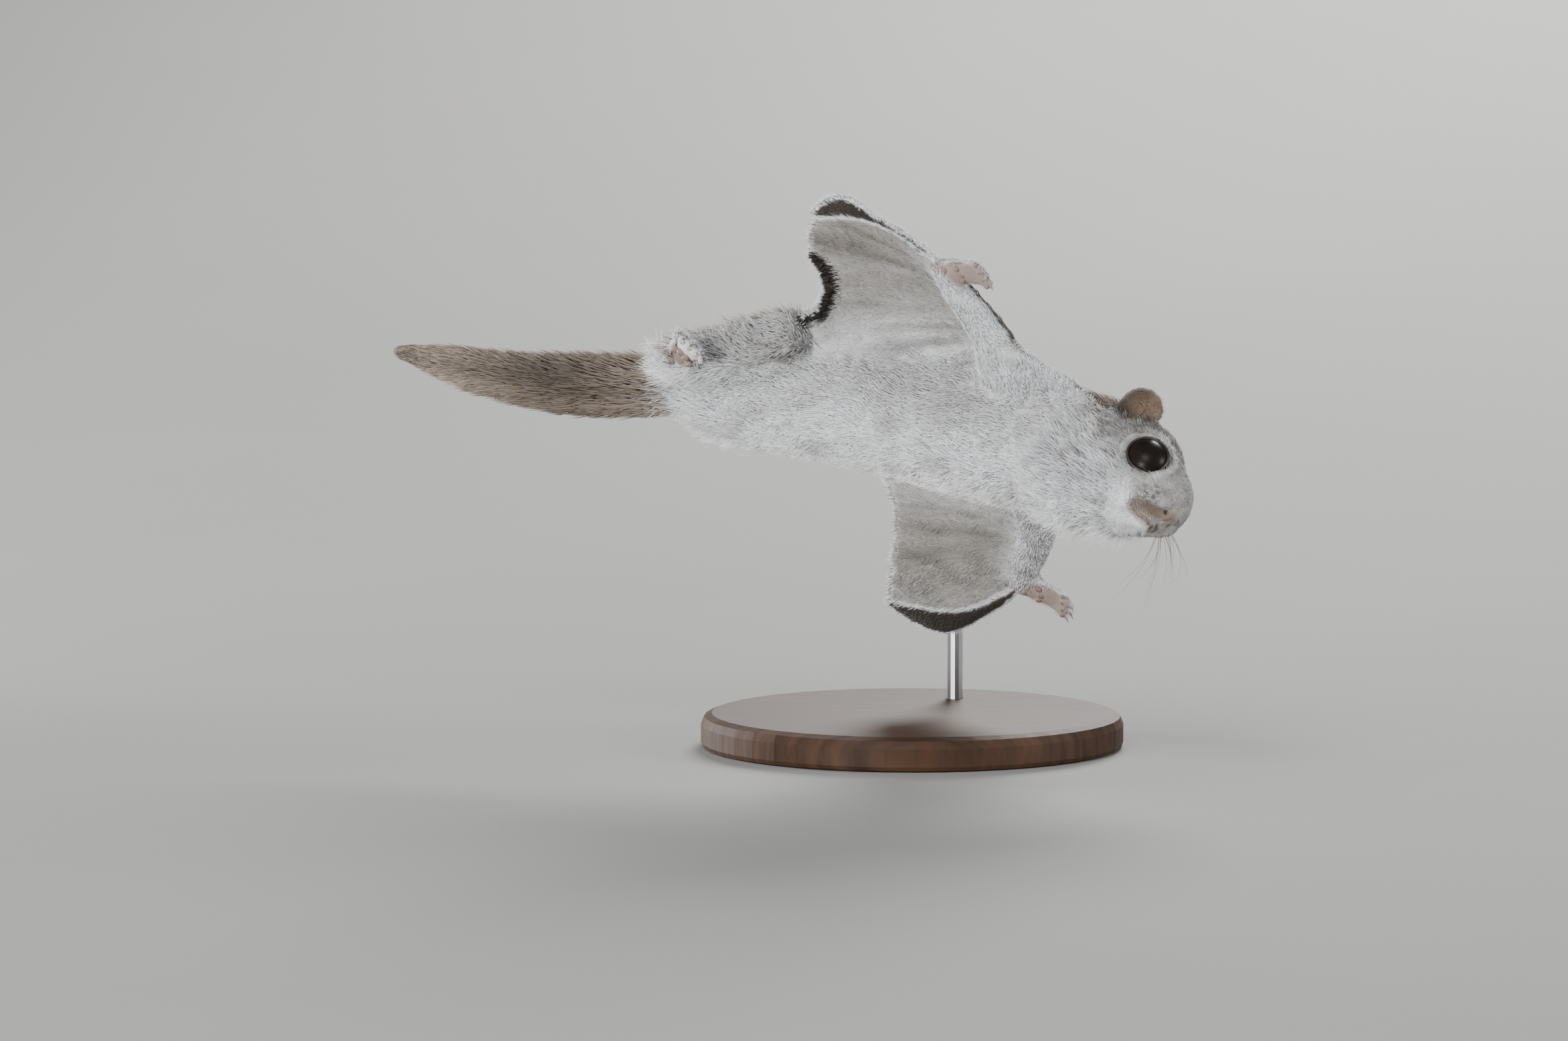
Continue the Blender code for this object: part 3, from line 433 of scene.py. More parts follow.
def from_line(p, line):
    """Distance of every point from a broken line."""
    best = np.full(len(p), 1e9)
    for a, b in zip(line[:-1], line[1:]):
        d = b - a
        t = np.clip(((p - a) @ d) / (d @ d), 0, 1)[:, None]
        best = np.minimum(best, norm(p - a - t * d))
    return best


def mirrored(h):
    """Head places with both sides folded onto the left, and each one's side."""
    side = np.where(h[:, 1] < 0, -1.0, 1.0)
    return columns(h[:, 0], np.abs(h[:, 1]), h[:, 2]), side


def eye_range(m):
    """Distance from the eyeball's middle in its own sizes, and angle from the way it looks."""
    off = m - EYE
    angle = np.arccos(np.clip(unit(off) @ EYE_AXIS, -1, 1))
    return norm(off / EYE_SIZE), angle


def wing_streak(b):
    """Folds of the membrane, which fan out from the wrist towards the body."""
    across, back = np.abs(b[:, 1]) - 40, 74 - b[:, 0]
    flat = columns(np.arctan2(across, back) * 62, np.hypot(across, back) * 0.16, np.sign(b[:, 1]) * 9)
    return waves(flat, 6.5, 8) + 0.4 * waves(flat * 2.3, 6.5, 9)


def from_edge(b, w):
    """Distance from the free edge of the membrane, in millimetres; far for other regions."""
    out = np.full(len(b), 99.0)
    for i in np.nonzero(share(w, "wing", "fore", "tip") > 0.1)[0]:
        out[i] = EDGE.find(b[i])[2]
    return out


def blend(base, other, amount):
    return base + (other - base) * np.clip(amount, 0, 1)[:, None]


def layers(base, *coats):
    """Colours laid over a base one after another, each with its amount."""
    for colour, amount in coats:
        base = blend(base, colour, amount)
    return base


def by_side(b, pair):
    """For every place, what the pair holds for its side of the animal."""
    return np.where((b[:, 1] < 0)[:, None], pair[-1], pair[1])


def sole_side(b, n):
    """How much a direction agrees with the way the sole faces."""
    return (n * unit(by_side(b, SOLE))).sum(axis=1)


def hollow(b):
    """Where the right wing's rear edge shows its dark band: the dark hair of its curled edge, with painted
    shade in the curl.
    """
    return step(-29, -33, b[:, 1]) * step(-60, -55, b[:, 1]) * step(22, 10, b[:, 0])


def markings_and_shading(b, n, w):
    """Coat colour with its painted light and shade, at body places b with outward directions n and region
    shares w.
    """
    side = np.abs(b[:, 1])
    under = step(0.30, -0.20, n[:, 2] + 0.12 * waves(b, 9, 3))
    # painted shadows of tufts: dark streaky spots on the belly and at the back of the head
    tuft_shadow = step(0.7, 1.4, waves(b * vec(0.4, 1.4, 1.4), 2.3, 12))
    tuft_shadow *= step(-0.2, 0.8, waves(b, 14, 14))
    # painted shade: the third layer greys the belly towards the right flank, the side turned away from the
    # light
    body = layers(BACK, (WHITE, under), (PALE, 0.5 * under * step(0.1, 1.0, waves(b, 9, 5))),
                  (PALE * 0.92, 0.7 * under * step(-6, -22, b[:, 1] + 2.5 * waves(b, 12, 43))
                   * step(-44, -30, b[:, 0])),
                  (SMOKE * 0.8, under * tuft_shadow * (0.25 + 0.4 * step(10, 50, b[:, 0]))))
    # painted shade in the crease along the thigh's fold, on the body and the legs
    fold_shade = np.exp(-(from_line(b, FOLD) / 2.6) ** 2)
    body = blend(body, SMOKE * 0.9, 0.5 * fold_shade)
    low = step(0.75, 0.2, n[:, 2] + 0.12 * waves(b, 9, 3))
    leg = layers(BACK, (PALE, low),
                 (SMOKE, 0.5 * low * step(0.1, 1.2, waves(b * vec(0.4, 1.6, 1.6), 4, 15))),
                 (WHITE, under * step(-25, -15, b[:, 1]) * (b[:, 1] < 0)), (SMOKE * 0.9, 0.5 * fold_shade))
    low = step(0.5, 0.0, n[:, 2] + 0.12 * waves(b, 9, 3))
    limb = blend(SMOKE * 0.7, WHITE * 0.85, low)
    fold_light_and_shade = wing_streak(b)
    fan = np.arctan2(side - 40, 74 - b[:, 0]) * 80
    fine = waves(columns(fan, 0.1 * b[:, 0], 0), 2.4, 27)
    rim = from_edge(b, w) + 0.25 * waves(b, 3, 29)
    wing = layers(BACK * 0.85, (GREY * 1.18, step(0.3, -0.3, n[:, 2])),
                  (WHITE * 0.95, under * step(50, 18, side)))
    # painted light: the left wing's underside is made up to 12 % brighter for the light that falls on it
    wing = wing * (1 + 0.12 * under * step(15, 40, b[:, 1]))[:, None]
    # painted light and shade along the membrane's folds: paler on one side of each fold, darker on the other
    wing = layers(wing, (PALE * 1.1, 0.6 * under * step(-0.2, 1.4, fold_light_and_shade)),
                  (SMOKE * 0.8, 0.55 * under * step(0.0, 1.4, -fold_light_and_shade)),
                  (SMOKE, 0.35 * under * step(0.2, 1.3, fine) * step(22, 40, side)))
    # painted rim light: the white along the free edges of the membrane, the tips and the fore sheet stands
    # for backlit fur, partly a pale fringe, stronger on the underside
    backlit_side = 0.3 + 0.7 * step(0.5, 0.0, n[:, 2])
    arm = from_line(columns(b[:, 0], side, 0), ARM)
    wing = layers(wing, (PALE * 1.15, 0.7 * under * step(13, 3, arm)),
                  (WHITE, 0.9 * backlit_side * step(1.5, 0.6, rim)),
                  (BAND * 0.8, hollow(b) * step(2.4, 1.9, rim)))
    # the white line where the tip meets the membrane: partly the pale underside, partly a painted highlight
    # along that fold
    between = 4 * share(w, "tip") * (1 - share(w, "tip")) * (share(w, "wing", "fore") > 0.1)
    wing = blend(wing, WHITE * 0.9, backlit_side * step(0.35, 0.8, between))
    tip = layers(BAND, (SMOKE, step(0.0, 0.6, n[:, 2]) * 0.5),
                 (WHITE * 0.9, backlit_side * step(1.2, 0.6, rim)),
                 (WHITE * 0.9, backlit_side * step(0.5, 0.9, between)))
    fore = layers(SMOKE * 0.8, (WHITE * 0.8, low), (WHITE, 0.85 * backlit_side * step(1.4, 0.6, rim)))
    h = body_to_head(b)
    m, _ = mirrored(h)
    head = layers(GREY * 0.85, (PALE * 0.85, step(1, -8, h[:, 2] + 0.2 * h[:, 0])),
                  (PALE, 0.7 * step(7, 12, h[:, 0])),
                  (WHITE, step(-9, -15, h[:, 2] + 0.12 * np.maximum(h[:, 0], -12) + 1.5 * waves(b, 5, 17))),
                  (SMOKE, 0.6 * step(3, 9, h[:, 2]) * step(4, -8, h[:, 0])),
                  (SMOKE, 0.35 * step(0.0, 1.3, waves(b * vec(0.6, 1.4, 1.4), 3.2, 19))))
    corner = from_line(m, np.array(((5.4, 9.6, 0.5), (6.9, 7.8, 2.8))))
    corner = np.minimum(corner, from_line(m, np.array(((8.8, 9.1, -2.2), (9.8, 8.2, -0.8)))) + 0.2)
    head = blend(head, DARK, 0.7 * step(0.8, 0.25, corner))
    reach, angle = eye_range(m)
    head = blend(head, WHITE, 0.5 * np.exp(-((reach - 1.32) / 0.13) ** 2)
                 * step(-5, 0, m[:, 2] + 0.6 * m[:, 0] + waves(m, 2, 45)))
    lips = from_line(m, LIPS)
    bare = from_line(m, BARE) + 0.35 * waves(m, 2.2, 39) + 0.35 * waves(m, 1.0, 40)
    bare = np.minimum(bare, from_line(m, LIPS[8:]) + 1.0)
    near = 1 - 0.75 * step(0.5, 2.5, h[:, 1])
    head = blend(head, TAN * 0.7, 0.88 * near * step(3.4, 1.3, bare))
    lip = norm(m - vec(13.2, 3.6, -12.6))
    # the dark along the lip line is painted shade in the mouth's slit
    head = layers(head, (PINK * 1.3, 0.6 * step(2.0, 1.0, lip)),
                  (DARK, 0.75 * near * step(0.75, 0.2, lips) * step(9.0, 7.8, m[:, 1])))
    # dark nostrils: painted shade in their openings
    pit = norm((m - NOSTRIL) / vec(1.5, 0.8, 0.8))
    head = blend(head, DARK, step(1.0, 0.5, pit))
    speck = step(0.1, 0.7, waves(m * vec(1, 1, 1.6), 1.2, 33))
    pad = step(5.2, 2.5, norm((m - vec(12.0, 7.4, -9.0)) / (1, 1, 0.8)))
    head = layers(head, (SMOKE * 0.5, 0.75 * pad * speck),
                  (DARK, step(1.16, 1.08, reach) * step(1.9, 1.4, angle)),
                  (SMOKE * 0.8, 0.5 * tuft_shadow * step(2, -14, h[:, 0])))
    ear_axis = unit(EAR_TIP - EAR_BASE)
    opening = EAR_OPEN - ear_axis * (EAR_OPEN @ ear_axis)
    nh = body_to_head(b + n) - h
    nh[:, 1] *= np.sign(h[:, 1])
    facing = nh @ unit(opening)
    along = (m - EAR_BASE) @ ear_axis / norm(EAR_TIP - EAR_BASE)
    # the dark near the ear's base on its inner face is painted shade deep in the ear's hollow
    ear = layers(SMOKE, (TAN * 0.72, step(-0.1, 0.3, facing)),
                 (SMOKE * 0.8, 0.6 * step(-0.4, 1.2, waves(m, 4, 41))),
                 (DARK, 0.92 * step(0.6, 0.2, along) * step(0, 0.4, facing)),
                 (PALE, 0.8 * step(0.6, 0.25, np.abs(facing)) * step(0.3, 0.6, along)))
    hand = blend(WHITE * 0.9, PINK * 1.2,
                 0.85 * step(-0.25, -0.7, n[:, 2] + 0.25 * waves(b, 3, 37)))
    foot = blend(WHITE, PINK, 0.9 * step(0.4, 0.8, sole_side(b, n))
                 * step(5.5, 3.5, norm(b - by_side(b, MID_FOOT))))
    colours = {("body",): body, ("thigh", "shank"): leg, ("arm",): limb, ("wing",): wing, ("tip",): tip,
               ("fore",): fore, ("head",): head, ("hand",): hand, ("foot",): foot, ("ear",): ear}
    return sum(colour * share(w, *regions)[:, None] for regions, colour in colours.items())


# The skin
PARTS = [(region, *welded(node)) for region, names in REGIONS.items() for node in names]
CORE = ("body", *tail_core())
HEAD_PARTS = [p for p in PARTS if p[0] in ("head", "ear", "body")]


def laid_on(line, body):
    """The line's points moved onto the head's skin, along one slanting way."""
    m = mirrored(body_to_head(body))[0]
    m = m[m[:, 0] > 2]
    way = unit(vec(0.718, 0.643, -0.267))
    t = np.linspace(0, len(line) - 1, 25)
    spots = columns(*[np.interp(t, np.arange(len(line)), line[:, k]) for k in range(3)])
    out = []
    for spot in spots:
        off = m - spot
        depth = off @ way
        cost = norm(off - depth[:, None] * way) + 0.03 * np.abs(depth)
        out.append(m[np.argmin(cost + 9 * (np.abs(depth) > 6))])
    return relax(np.array(out), columns(np.arange(24), np.arange(1, 25)), 2)


def skin_piece(parts, voxel, rounds):
    """A melted surface, evened out and drawn in by the coat's depth: points, faces, shares."""
    mesh = melt(voxel, parts)
    verts, pairs, faces = points(mesh), edges(mesh), triangles(mesh)
    weights = region_weights(verts, pairs, parts)
    verts = relax(verts, pairs, rounds, 0.5)
    mesh.vertices.foreach_set("co", verts.astype(np.float32).ravel())
    mesh.update()
    norms = normals(mesh)
    body = to_body(verts)
    depth = sum(weights[:, i] * (DEPTH[r] + GROW.get(r, 0.4)) for i, r in enumerate(ORDER))
    head = body_to_head(body)
    near_eye = np.minimum(norm((head - EYE) / 9.0), norm((head - EYE * (1, -1, 1)) / 9.0))
    fine = np.maximum(step(1.3, 0.9, near_eye), step(6, 11, head[:, 0])) * share(weights, "head")
    depth = depth * (1 - fine) + fine * 0.65
    depth = np.where(body[:, 0] < -56, 0, depth)
    body = body - (norms @ AXES.T) * depth[:, None]
    lay = norms @ AXES.T
    flesh = share(weights, "body", "thigh", "shank", "wing")
    body = body - lay * (0.9 * np.exp(-(from_line(body, FOLD) / 2.0) ** 2) * flesh)[:, None]
    body[:, 2] += 0.7 * wing_streak(body) * share(weights, "wing") * step(20, 34, np.abs(body[:, 1]))
    if voxel == HEAD_VOXEL:
        global LIPS
        LIPS = laid_on(MOUTH, body)
        body = shape_face(body, lay, share(weights, "head"))
    return to_world(body), faces, weights


def shape_face(body, lay, amount):
    """Carves the lids, nostrils, lips and brow into the head's skin."""
    h = body_to_head(body)
    out = body_to_head(body + lay) - h
    m, side = mirrored(h)
    out[:, 1] *= side
    lips = from_line(m, LIPS)
    move = -0.75 * np.exp(-(lips / 0.42) ** 2) + 0.28 * np.exp(-((lips - 1.2) / 0.6) ** 2)
    pit = norm((m - NOSTRIL) / vec(1.5, 0.75, 0.7))
    move -= 0.9 * np.clip(1 - pit ** 2, 0, 1)
    groove = np.exp(-(m[:, 1] / 0.4) ** 2) * step(-10.6, -9.6, m[:, 2]) * step(-6.8, -8, m[:, 2])
    move -= 0.45 * groove * step(12, 14, m[:, 0])
    pad = norm((m - vec(12.0, 6.8, -9.0)) / (4.2, 3.2, 3.0))
    move += 0.6 * np.exp(-pad ** 2)
    reach, angle = eye_range(m)
    move += 0.3 * np.exp(-((reach - 1.3) / 0.16) ** 2) * step(2.2, 1.5, angle)
    m = m + out * (move * amount)[:, None]
    reach, angle = eye_range(m)
    inside = (angle < LID_ANGLE) & (reach < 1.6)
    scale = np.where(inside, np.minimum(0.86 / reach, 1), np.where(reach < 1.07, 1.07 / reach, 1))
    scale = np.where(amount > 0.5, scale, 1.0)
    m = EYE + (m - EYE) * scale[:, None]
    m[:, 1] *= side
    return head_to_body(m)


def cut(piece, keep):
    """The faces of a skin piece whose points all pass the test."""
    verts, faces, weights = piece
    good = keep(body_to_head(to_body(verts)))
    faces = faces[good[faces].all(axis=1)]
    used = np.unique(faces)
    back = np.zeros(len(verts), dtype=int)
    back[used] = np.arange(len(used))
    return verts[used], back[faces], weights[used]


body_skin = cut(skin_piece(PARTS + [CORE], BODY_VOXEL, 4), lambda h: h[:, 0] < -16)
head_skin = cut(skin_piece(HEAD_PARTS, HEAD_VOXEL, 3), lambda h: h[:, 0] > -24)
count = len(body_skin[0])
skin_verts = np.concatenate([body_skin[0], head_skin[0]])
skin_faces = np.concatenate([body_skin[1], head_skin[1] + count])
skin_weights = np.concatenate([body_skin[2], head_skin[2]])
skin = make_mesh("skin", skin_verts, skin_faces, SKIN)
skin_body = to_body(skin_verts)
skin_lay = normals(skin.data) @ AXES.T
flat = columns(skin_body[:, 0], np.abs(skin_body[:, 1]), 0)
rims = skin_body[(share(skin_weights, "wing", "fore", "tip") > 0.75) & (np.abs(skin_lay[:, 2]) < 0.45)
                 & (np.abs(skin_body[:, 1]) > 24) & (from_line(flat, ARM) > 4.5)]
EDGE = tree_of(rims)
paint(skin.data, markings_and_shading(skin_body, skin_lay, skin_weights) * SKIN_TONE)

# An unwrap of the skin's own shape, which the coat's roots share
bpy.context.view_layer.objects.active = skin
skin.select_set(True)
skin.data.uv_layers.new(name="OFBake")
bpy.ops.object.mode_set(mode="EDIT")
bpy.ops.mesh.select_all(action="SELECT")
bpy.ops.uv.smart_project(angle_limit=math.radians(66), island_margin=0.002)
bpy.ops.object.mode_set(mode="OBJECT")
skin_uv = read(skin.data.uv_layers["OFBake"].data, "uv", 2).reshape(-1, 3, 2)   # each triangle's corners


# The coat
def scatter(density):
    """Random roots on the skin, density(body, normal, weights, head) per square millimetre."""
    tri = skin_verts[skin_faces] / MM
    area = norm(np.cross(tri[:, 1] - tri[:, 0], tri[:, 2] - tri[:, 0])) / 2
    mid = skin_body[skin_faces].mean(axis=1)
    facing = unit(skin_lay[skin_faces].mean(axis=1))
    weight = skin_weights[skin_faces].mean(axis=1)
    want = area * MUCH * np.maximum(density(mid, facing, weight, body_to_head(mid)), 0)
    number = np.floor(want + RNG.random(len(want))).astype(int)
    which = np.repeat(np.arange(len(want)), number)
    u, v = RNG.random(len(which)), RNG.random(len(which))
    flip = u + v > 1
    u[flip], v[flip] = 1 - u[flip], 1 - v[flip]
    mixing = columns(1 - u - v, u, v)[:, :, None]
    corner = skin_faces[which]
    place = (skin_body[corner] * mixing).sum(axis=1)
    normal = unit((skin_lay[corner] * mixing).sum(axis=1))
    weight = (skin_weights[corner] * mixing).sum(axis=1)
    uv = (skin_uv[which] * mixing).sum(axis=1)
    return place, normal, weight, uv


def ready(obj, slot):
    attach(obj, "root")


def tufts(name, place, normal, lay, length, width, lift, colour, uv, rings=1, slot="coat_white",
          sway=0.15, tip_tone=1.1, sink=0.35, ends=None, turn=(0.35, 0.75)):
    """Closed, tapered tufts from roots in the body's frame, in as many pieces as the limit asks."""
    thick = 0.45                                # of a tuft's width
    count = len(place)
    across = unit(np.cross(normal, lay))
    bend = RNG.normal(0, sway, count)[:, None]
    levels = {1: (0.0, 0.42, 1.0), 2: (0.0, 0.3, 0.68, 1.0)}[rings]
    wide = {1: (0, 1, 0), 2: (0, 1, 0.75, 0)}[rings]
    long = length[:, None]
    verts, tones, patch = [], [], []
    for t, spread in zip(levels, wide):
        rise = lift[:, None] * (1.7 * t - 0.9 * t * t) * long
        centre = (place - normal * (sink * (1 - t) ** 3) + lay * long * t + normal * rise
                  + across * bend * long * t * t)
        if spread == 0:
            corners = [centre]
        else:
            half = across * (width[:, None] * spread / 2)
            corners = [centre + half, centre - half, centre + normal * (width[:, None] * spread * thick)]
        for k, c in enumerate(corners):
            verts.append(c)
            tone = colour if ends is None else colour + (ends - colour) * step(*turn, t)
            # darker roots: painted shade down among the tufts
            tones.append(tone * (ROOT_SHADE_TONE + (tip_tone - ROOT_SHADE_TONE) * t ** 0.7))
            patch.append(uv + np.array((0.0015 * (k - 1), 0.003 * (t - 0.5))))
    per = len(verts)
    verts, tones, patch = columns(*verts), columns(*tones), columns(*patch)
    faces = [(0, 2, 1), (0, 3, 2), (0, 1, 3)]
    for r in range(rings - 1):
        a, b = 1 + 3 * r, 4 + 3 * r
        for i in range(3):
            j = (i + 1) % 3
            faces += [(a + i, a + j, b + j), (a + i, b + j, b + i)]
    last = 1 + 3 * (rings - 1)
    faces += [(last + i, last + (i + 1) % 3, per - 1) for i in range(3)]
    faces = np.array(faces)
    order = RNG.permutation(count)
    most = LIMIT // len(faces)
    for number, begin in enumerate(range(0, count, most)):
        some = order[begin:begin + most]
        index = (np.arange(len(some)) * per)[:, None, None] + faces[None]
        piece = make_mesh(f"{name}_{number + 1}", to_world(verts[some].reshape(-1, 3)),
                          index.reshape(-1, 3), FUR, tones[some].reshape(-1, 3),
                          patch[some].reshape(-1, 2))
        ready(piece, slot)


def lie(direction, normal, wander, place, seed):
    """A direction laid along the surface and turned a little by a wandering field."""
    flat = unit(direction - normal * (direction * normal).sum(axis=1, keepdims=True))
    across = np.cross(normal, flat)
    angle = (wander * waves(place, 8, seed) + RNG.normal(0, wander * 0.35, len(place)))[:, None]
    return unit(flat * np.cos(angle) + across * np.sin(angle))


def rand(low, high, count):
    return RNG.uniform(low, high, count)


def coat(name, density, direction, length, width, lift, wander, seed, rings=1, slot="coat_white",
         shade=0.08, **extra):
    """Tufts over the skin, in its colours, with clumps and a wandering lie."""
    place, normal, weight, uv = scatter(density)
    head = body_to_head(place)
    lay = lie(direction(place, normal, weight, head), normal, wander, place, seed)
    long = length(place, normal, weight, head) if callable(length) else length
    long = long * rand(0.7, 1.2, len(place))
    colour = markings_and_shading(place, normal, weight) * rand(1 - shade, 1 + shade, len(place))[:, None]
    clump = 1 + 0.07 * waves(place, 2.4, seed + 1) + 0.07 * waves(place * (0.3, 1.5, 1.5), 2.6, seed + 2)
    wide = width * rand(0.7, 1.3, len(place))
    rise = lift * rand(0.4, 1.5, len(place)) * (1 + 0.5 * waves(place, 1.6, seed + 3))
    tufts(name, place, normal, lay, long, wide, rise, colour * clump[:, None], uv, rings, slot, **extra)


def backward(b, n, w, h):
    return columns(-1, 0.18 * np.sign(b[:, 1]), -0.12)


def over_head(b, n, w, h):
    """Away from the nose, round the eye and back over the cheek and crown."""
    d = columns(-1, 0.25 * np.sign(h[:, 1]), 0.15 * np.sign(h[:, 2] + 4))
    near = h - EYE * columns(1, np.sign(h[:, 1]), 1)
    pull = step(13, 7, norm(near))[:, None]
    return (d + unit(near) * pull * 0.4) @ TURN


def over_wing(b, n, w, h):
    side = np.sign(b[:, 1])
    return columns(b[:, 0] - 74, side * (np.abs(b[:, 1]) - 40), 0)


def down_limb(b, n, w, h):
    side = np.sign(b[:, 1])
    fore = columns(-0.45, side, 0)
    hind = columns(-1, side * 0.35, 0.25)
    return np.where((b[:, 0] > 20)[:, None], fore, hind)


def off_eye(h):
    return step(1.12, 1.22, eye_range(mirrored(h)[0])[0])


def rump(b):
    return step(-34, -48, b[:, 0])


coat("coat_body", lambda b, n, w, h: 2.35 * share(w, "body") * (b[:, 0] > -57)
     * (1 - 0.45 * ((h[:, 0] > -24) & (h[:, 0] < -16))),
     backward, lambda b, n, w, h: 3.9 + 3.4 * rump(b), 0.4, 0.24, 0.35, 21, rings=2)
coat("coat_thigh", lambda b, n, w, h: 2.7 * share(w, "thigh", "shank"), down_limb,
     lambda b, n, w, h: 3.6 + 1.6 * step(-10, -40, b[:, 0]), 0.38, 0.32, 0.4, 31, rings=2)
coat("coat_arm", lambda b, n, w, h: 3.6 * share(w, "arm", "fore"), down_limb, 2.7,
     0.3, 0.22, 0.3, 41)
coat("coat_wing", lambda b, n, w, h: 2.9 * share(w, "wing") * (np.abs(n[:, 2]) > 0.5),
     over_wing, 2.9, 0.3, 0.12, 0.35, 51, slot="membrane")
coat("coat_tip", lambda b, n, w, h: 3.4 * share(w, "tip") * (np.abs(n[:, 2]) > 0.5),
     over_wing, 1.7, 0.25, 0.12, 0.3, 61, slot="membrane")
coat("coat_head", lambda b, n, w, h: 8.2 * share(w, "head") * (h[:, 0] < 16) * off_eye(h)
     * step(0.4, 1.2, from_line(mirrored(h)[0], LIPS))
     * step(1.9, 2.8, norm(mirrored(h)[0] - NOSE)),
     over_head, lambda b, n, w, h: 1.1 + 2.5 * step(10, -18, h[:, 0]), 0.19, 0.26, 0.24, 71, sink=0.2,
     shade=0.14)
coat("coat_cheek", lambda b, n, w, h: 2.4 * share(w, "head", "body") * step(6, 0, h[:, 0])
     * step(-24, -20, h[:, 0]) * step(-8, -14, h[:, 2]), over_head, 4.6, 0.2, 0.75, 0.3, 73, rings=2)
coat("coat_ear", lambda b, n, w, h: 4.8 * share(w, "ear"),
     lambda b, n, w, h: (EAR_TIP - EAR_BASE) @ TURN, 1.1, 0.14, 0.16, 0.3, 75,
     slot="ear_skin")
coat("coat_hand", lambda b, n, w, h: 9 * share(w, "hand") * step(-0.75, -0.35, n[:, 2]),
     lambda b, n, w, h: columns(1, 0.3 * np.sign(b[:, 1]), -0.3),
     1.9, 0.17, 0.35, 0.25, 77, sink=0.2)
coat("coat_foot", lambda b, n, w, h: 9.5 * share(w, "foot") * step(0.75, 0.45, sole_side(b, n)),
     lambda b, n, w, h: by_side(b, FOOT_LAY), 2.3, 0.2, 0.42, 0.3, 79)


def stand_out(name, density, length, width, tint, ends, slot, back=0.35, spread=0.22, turn=(0.35, 0.75),
              uneven=0.28, aim=None):
    """Hair that grows off an edge, in the plane of the sheet."""
    place, normal, _, uv = scatter(density)
    way = normal + vec(-back, 0, 0) if aim is None else aim(place, normal)
    lay = unit(way + RNG.normal(0, spread, place.shape))
    up = unit(np.cross(lay, RNG.normal(size=place.shape)))
    shade = rand(0.85, 1.08, len(place))[:, None]
    tufts(name, place, up, lay, length * rand(1 - uneven, 1 + uneven, len(place)),
          width * rand(0.7, 1.3, len(place)), np.full(len(place), 0.05),
          tint * shade, uv, 2, slot, ends=ends * shade, turn=turn)


def edge_of(n):
    return step(0.62, 0.4, np.abs(n[:, 2]))


# the rear edge's dark band for its curled edge (dark hair with painted shade in the curl) with its pale
# fringe, then the finer fringes of the other edges
stand_out("fringe_rear", lambda b, n, w, h: 75 * share(w, "wing") * edge_of(n) * hollow(b),
          4.2, 0.62, BAND * 0.8, WHITE * 0.9, "membrane", back=0.05, spread=0.03, turn=(0.76, 0.97),
          uneven=0.05)
stand_out("fringe_wing", lambda b, n, w, h: 9 * share(w, "wing", "fore") * edge_of(n) * (1 - hollow(b)),
          1.8, 0.16, WHITE * 0.8, WHITE * 0.95, "membrane")
stand_out("fringe_tip", lambda b, n, w, h: 18 * share(w, "tip") * edge_of(n),
          1.4, 0.16, WHITE * 0.9, WHITE, "membrane", turn=(0.1, 0.4))


def cup(place, normal):
    """Round the sole and towards the way it faces."""
    face = unit(by_side(place, SOLE))
    out = place - by_side(place, MID_FOOT)
    out = unit(out - face * (out * face).sum(axis=1, keepdims=True))
    return out * 0.9 + face * 0.5 + normal * 0.2


stand_out("foot_cup", lambda b, n, w, h: 8.5 * share(w, "foot", "shank") * step(0.8, 0.5, sole_side(b, n))
          * step(10.5, 8.5, norm(b - by_side(b, MID_FOOT))),
          1.9, 0.2, WHITE * 0.85, WHITE, "coat_white", spread=0.18, aim=cup)


def long_hair(name, density, length, width, lift, wander, seed, tilt):
    """Longer loose hair that softens the outline over the rump and the thighs."""
    place, normal, weight, uv = scatter(density)
    lay = lie(backward(place, normal, weight, None), normal, wander, place, seed)
    lay = unit(lay + normal * tilt)
    colour = markings_and_shading(place, normal, weight)
    tufts(name, place, normal, lay, length * rand(0.5, 1.2, len(place)),
          width * rand(0.7, 1.3, len(place)), lift * rand(0.3, 1.5, len(place)), colour, uv, 2,
          "coat_white", tip_tone=1.2)


long_hair("fuzz_rump", lambda b, n, w, h: 1.5 * share(w, "body", "thigh", "shank") * step(-18, -44, b[:, 0])
          * (b[:, 0] > -57), 7.5, 0.22, 0.2, 0.5, 83, 0.3)
long_hair("fuzz_tail_root", lambda b, n, w, h: 4.2 * step(-42, -48, b[:, 0]) * (b[:, 0] > -60), 10, 0.28,
          0.12, 0.3, 87, 0.18)
long_hair("fuzz_leg", lambda b, n, w, h: 1.9 * share(w, "thigh", "shank") * step(0.0, 0.5, n[:, 2]), 5.0,
          0.2, 0.3, 0.4, 89, 0.4)
long_hair("fuzz_body", lambda b, n, w, h: 0.36 * share(w, "body") * (b[:, 0] > -40),
          4.6, 0.2, 0.2, 0.5, 85, 0.3)


# where the tail's locks find their place on the skin's map
middles = skin_body[skin_faces].mean(axis=1)
rear = np.flatnonzero(middles[:, 0] < -40)
PATCH = skin_uv.mean(axis=1)[rear]
SKIN_TREE = tree_of(middles[rear])


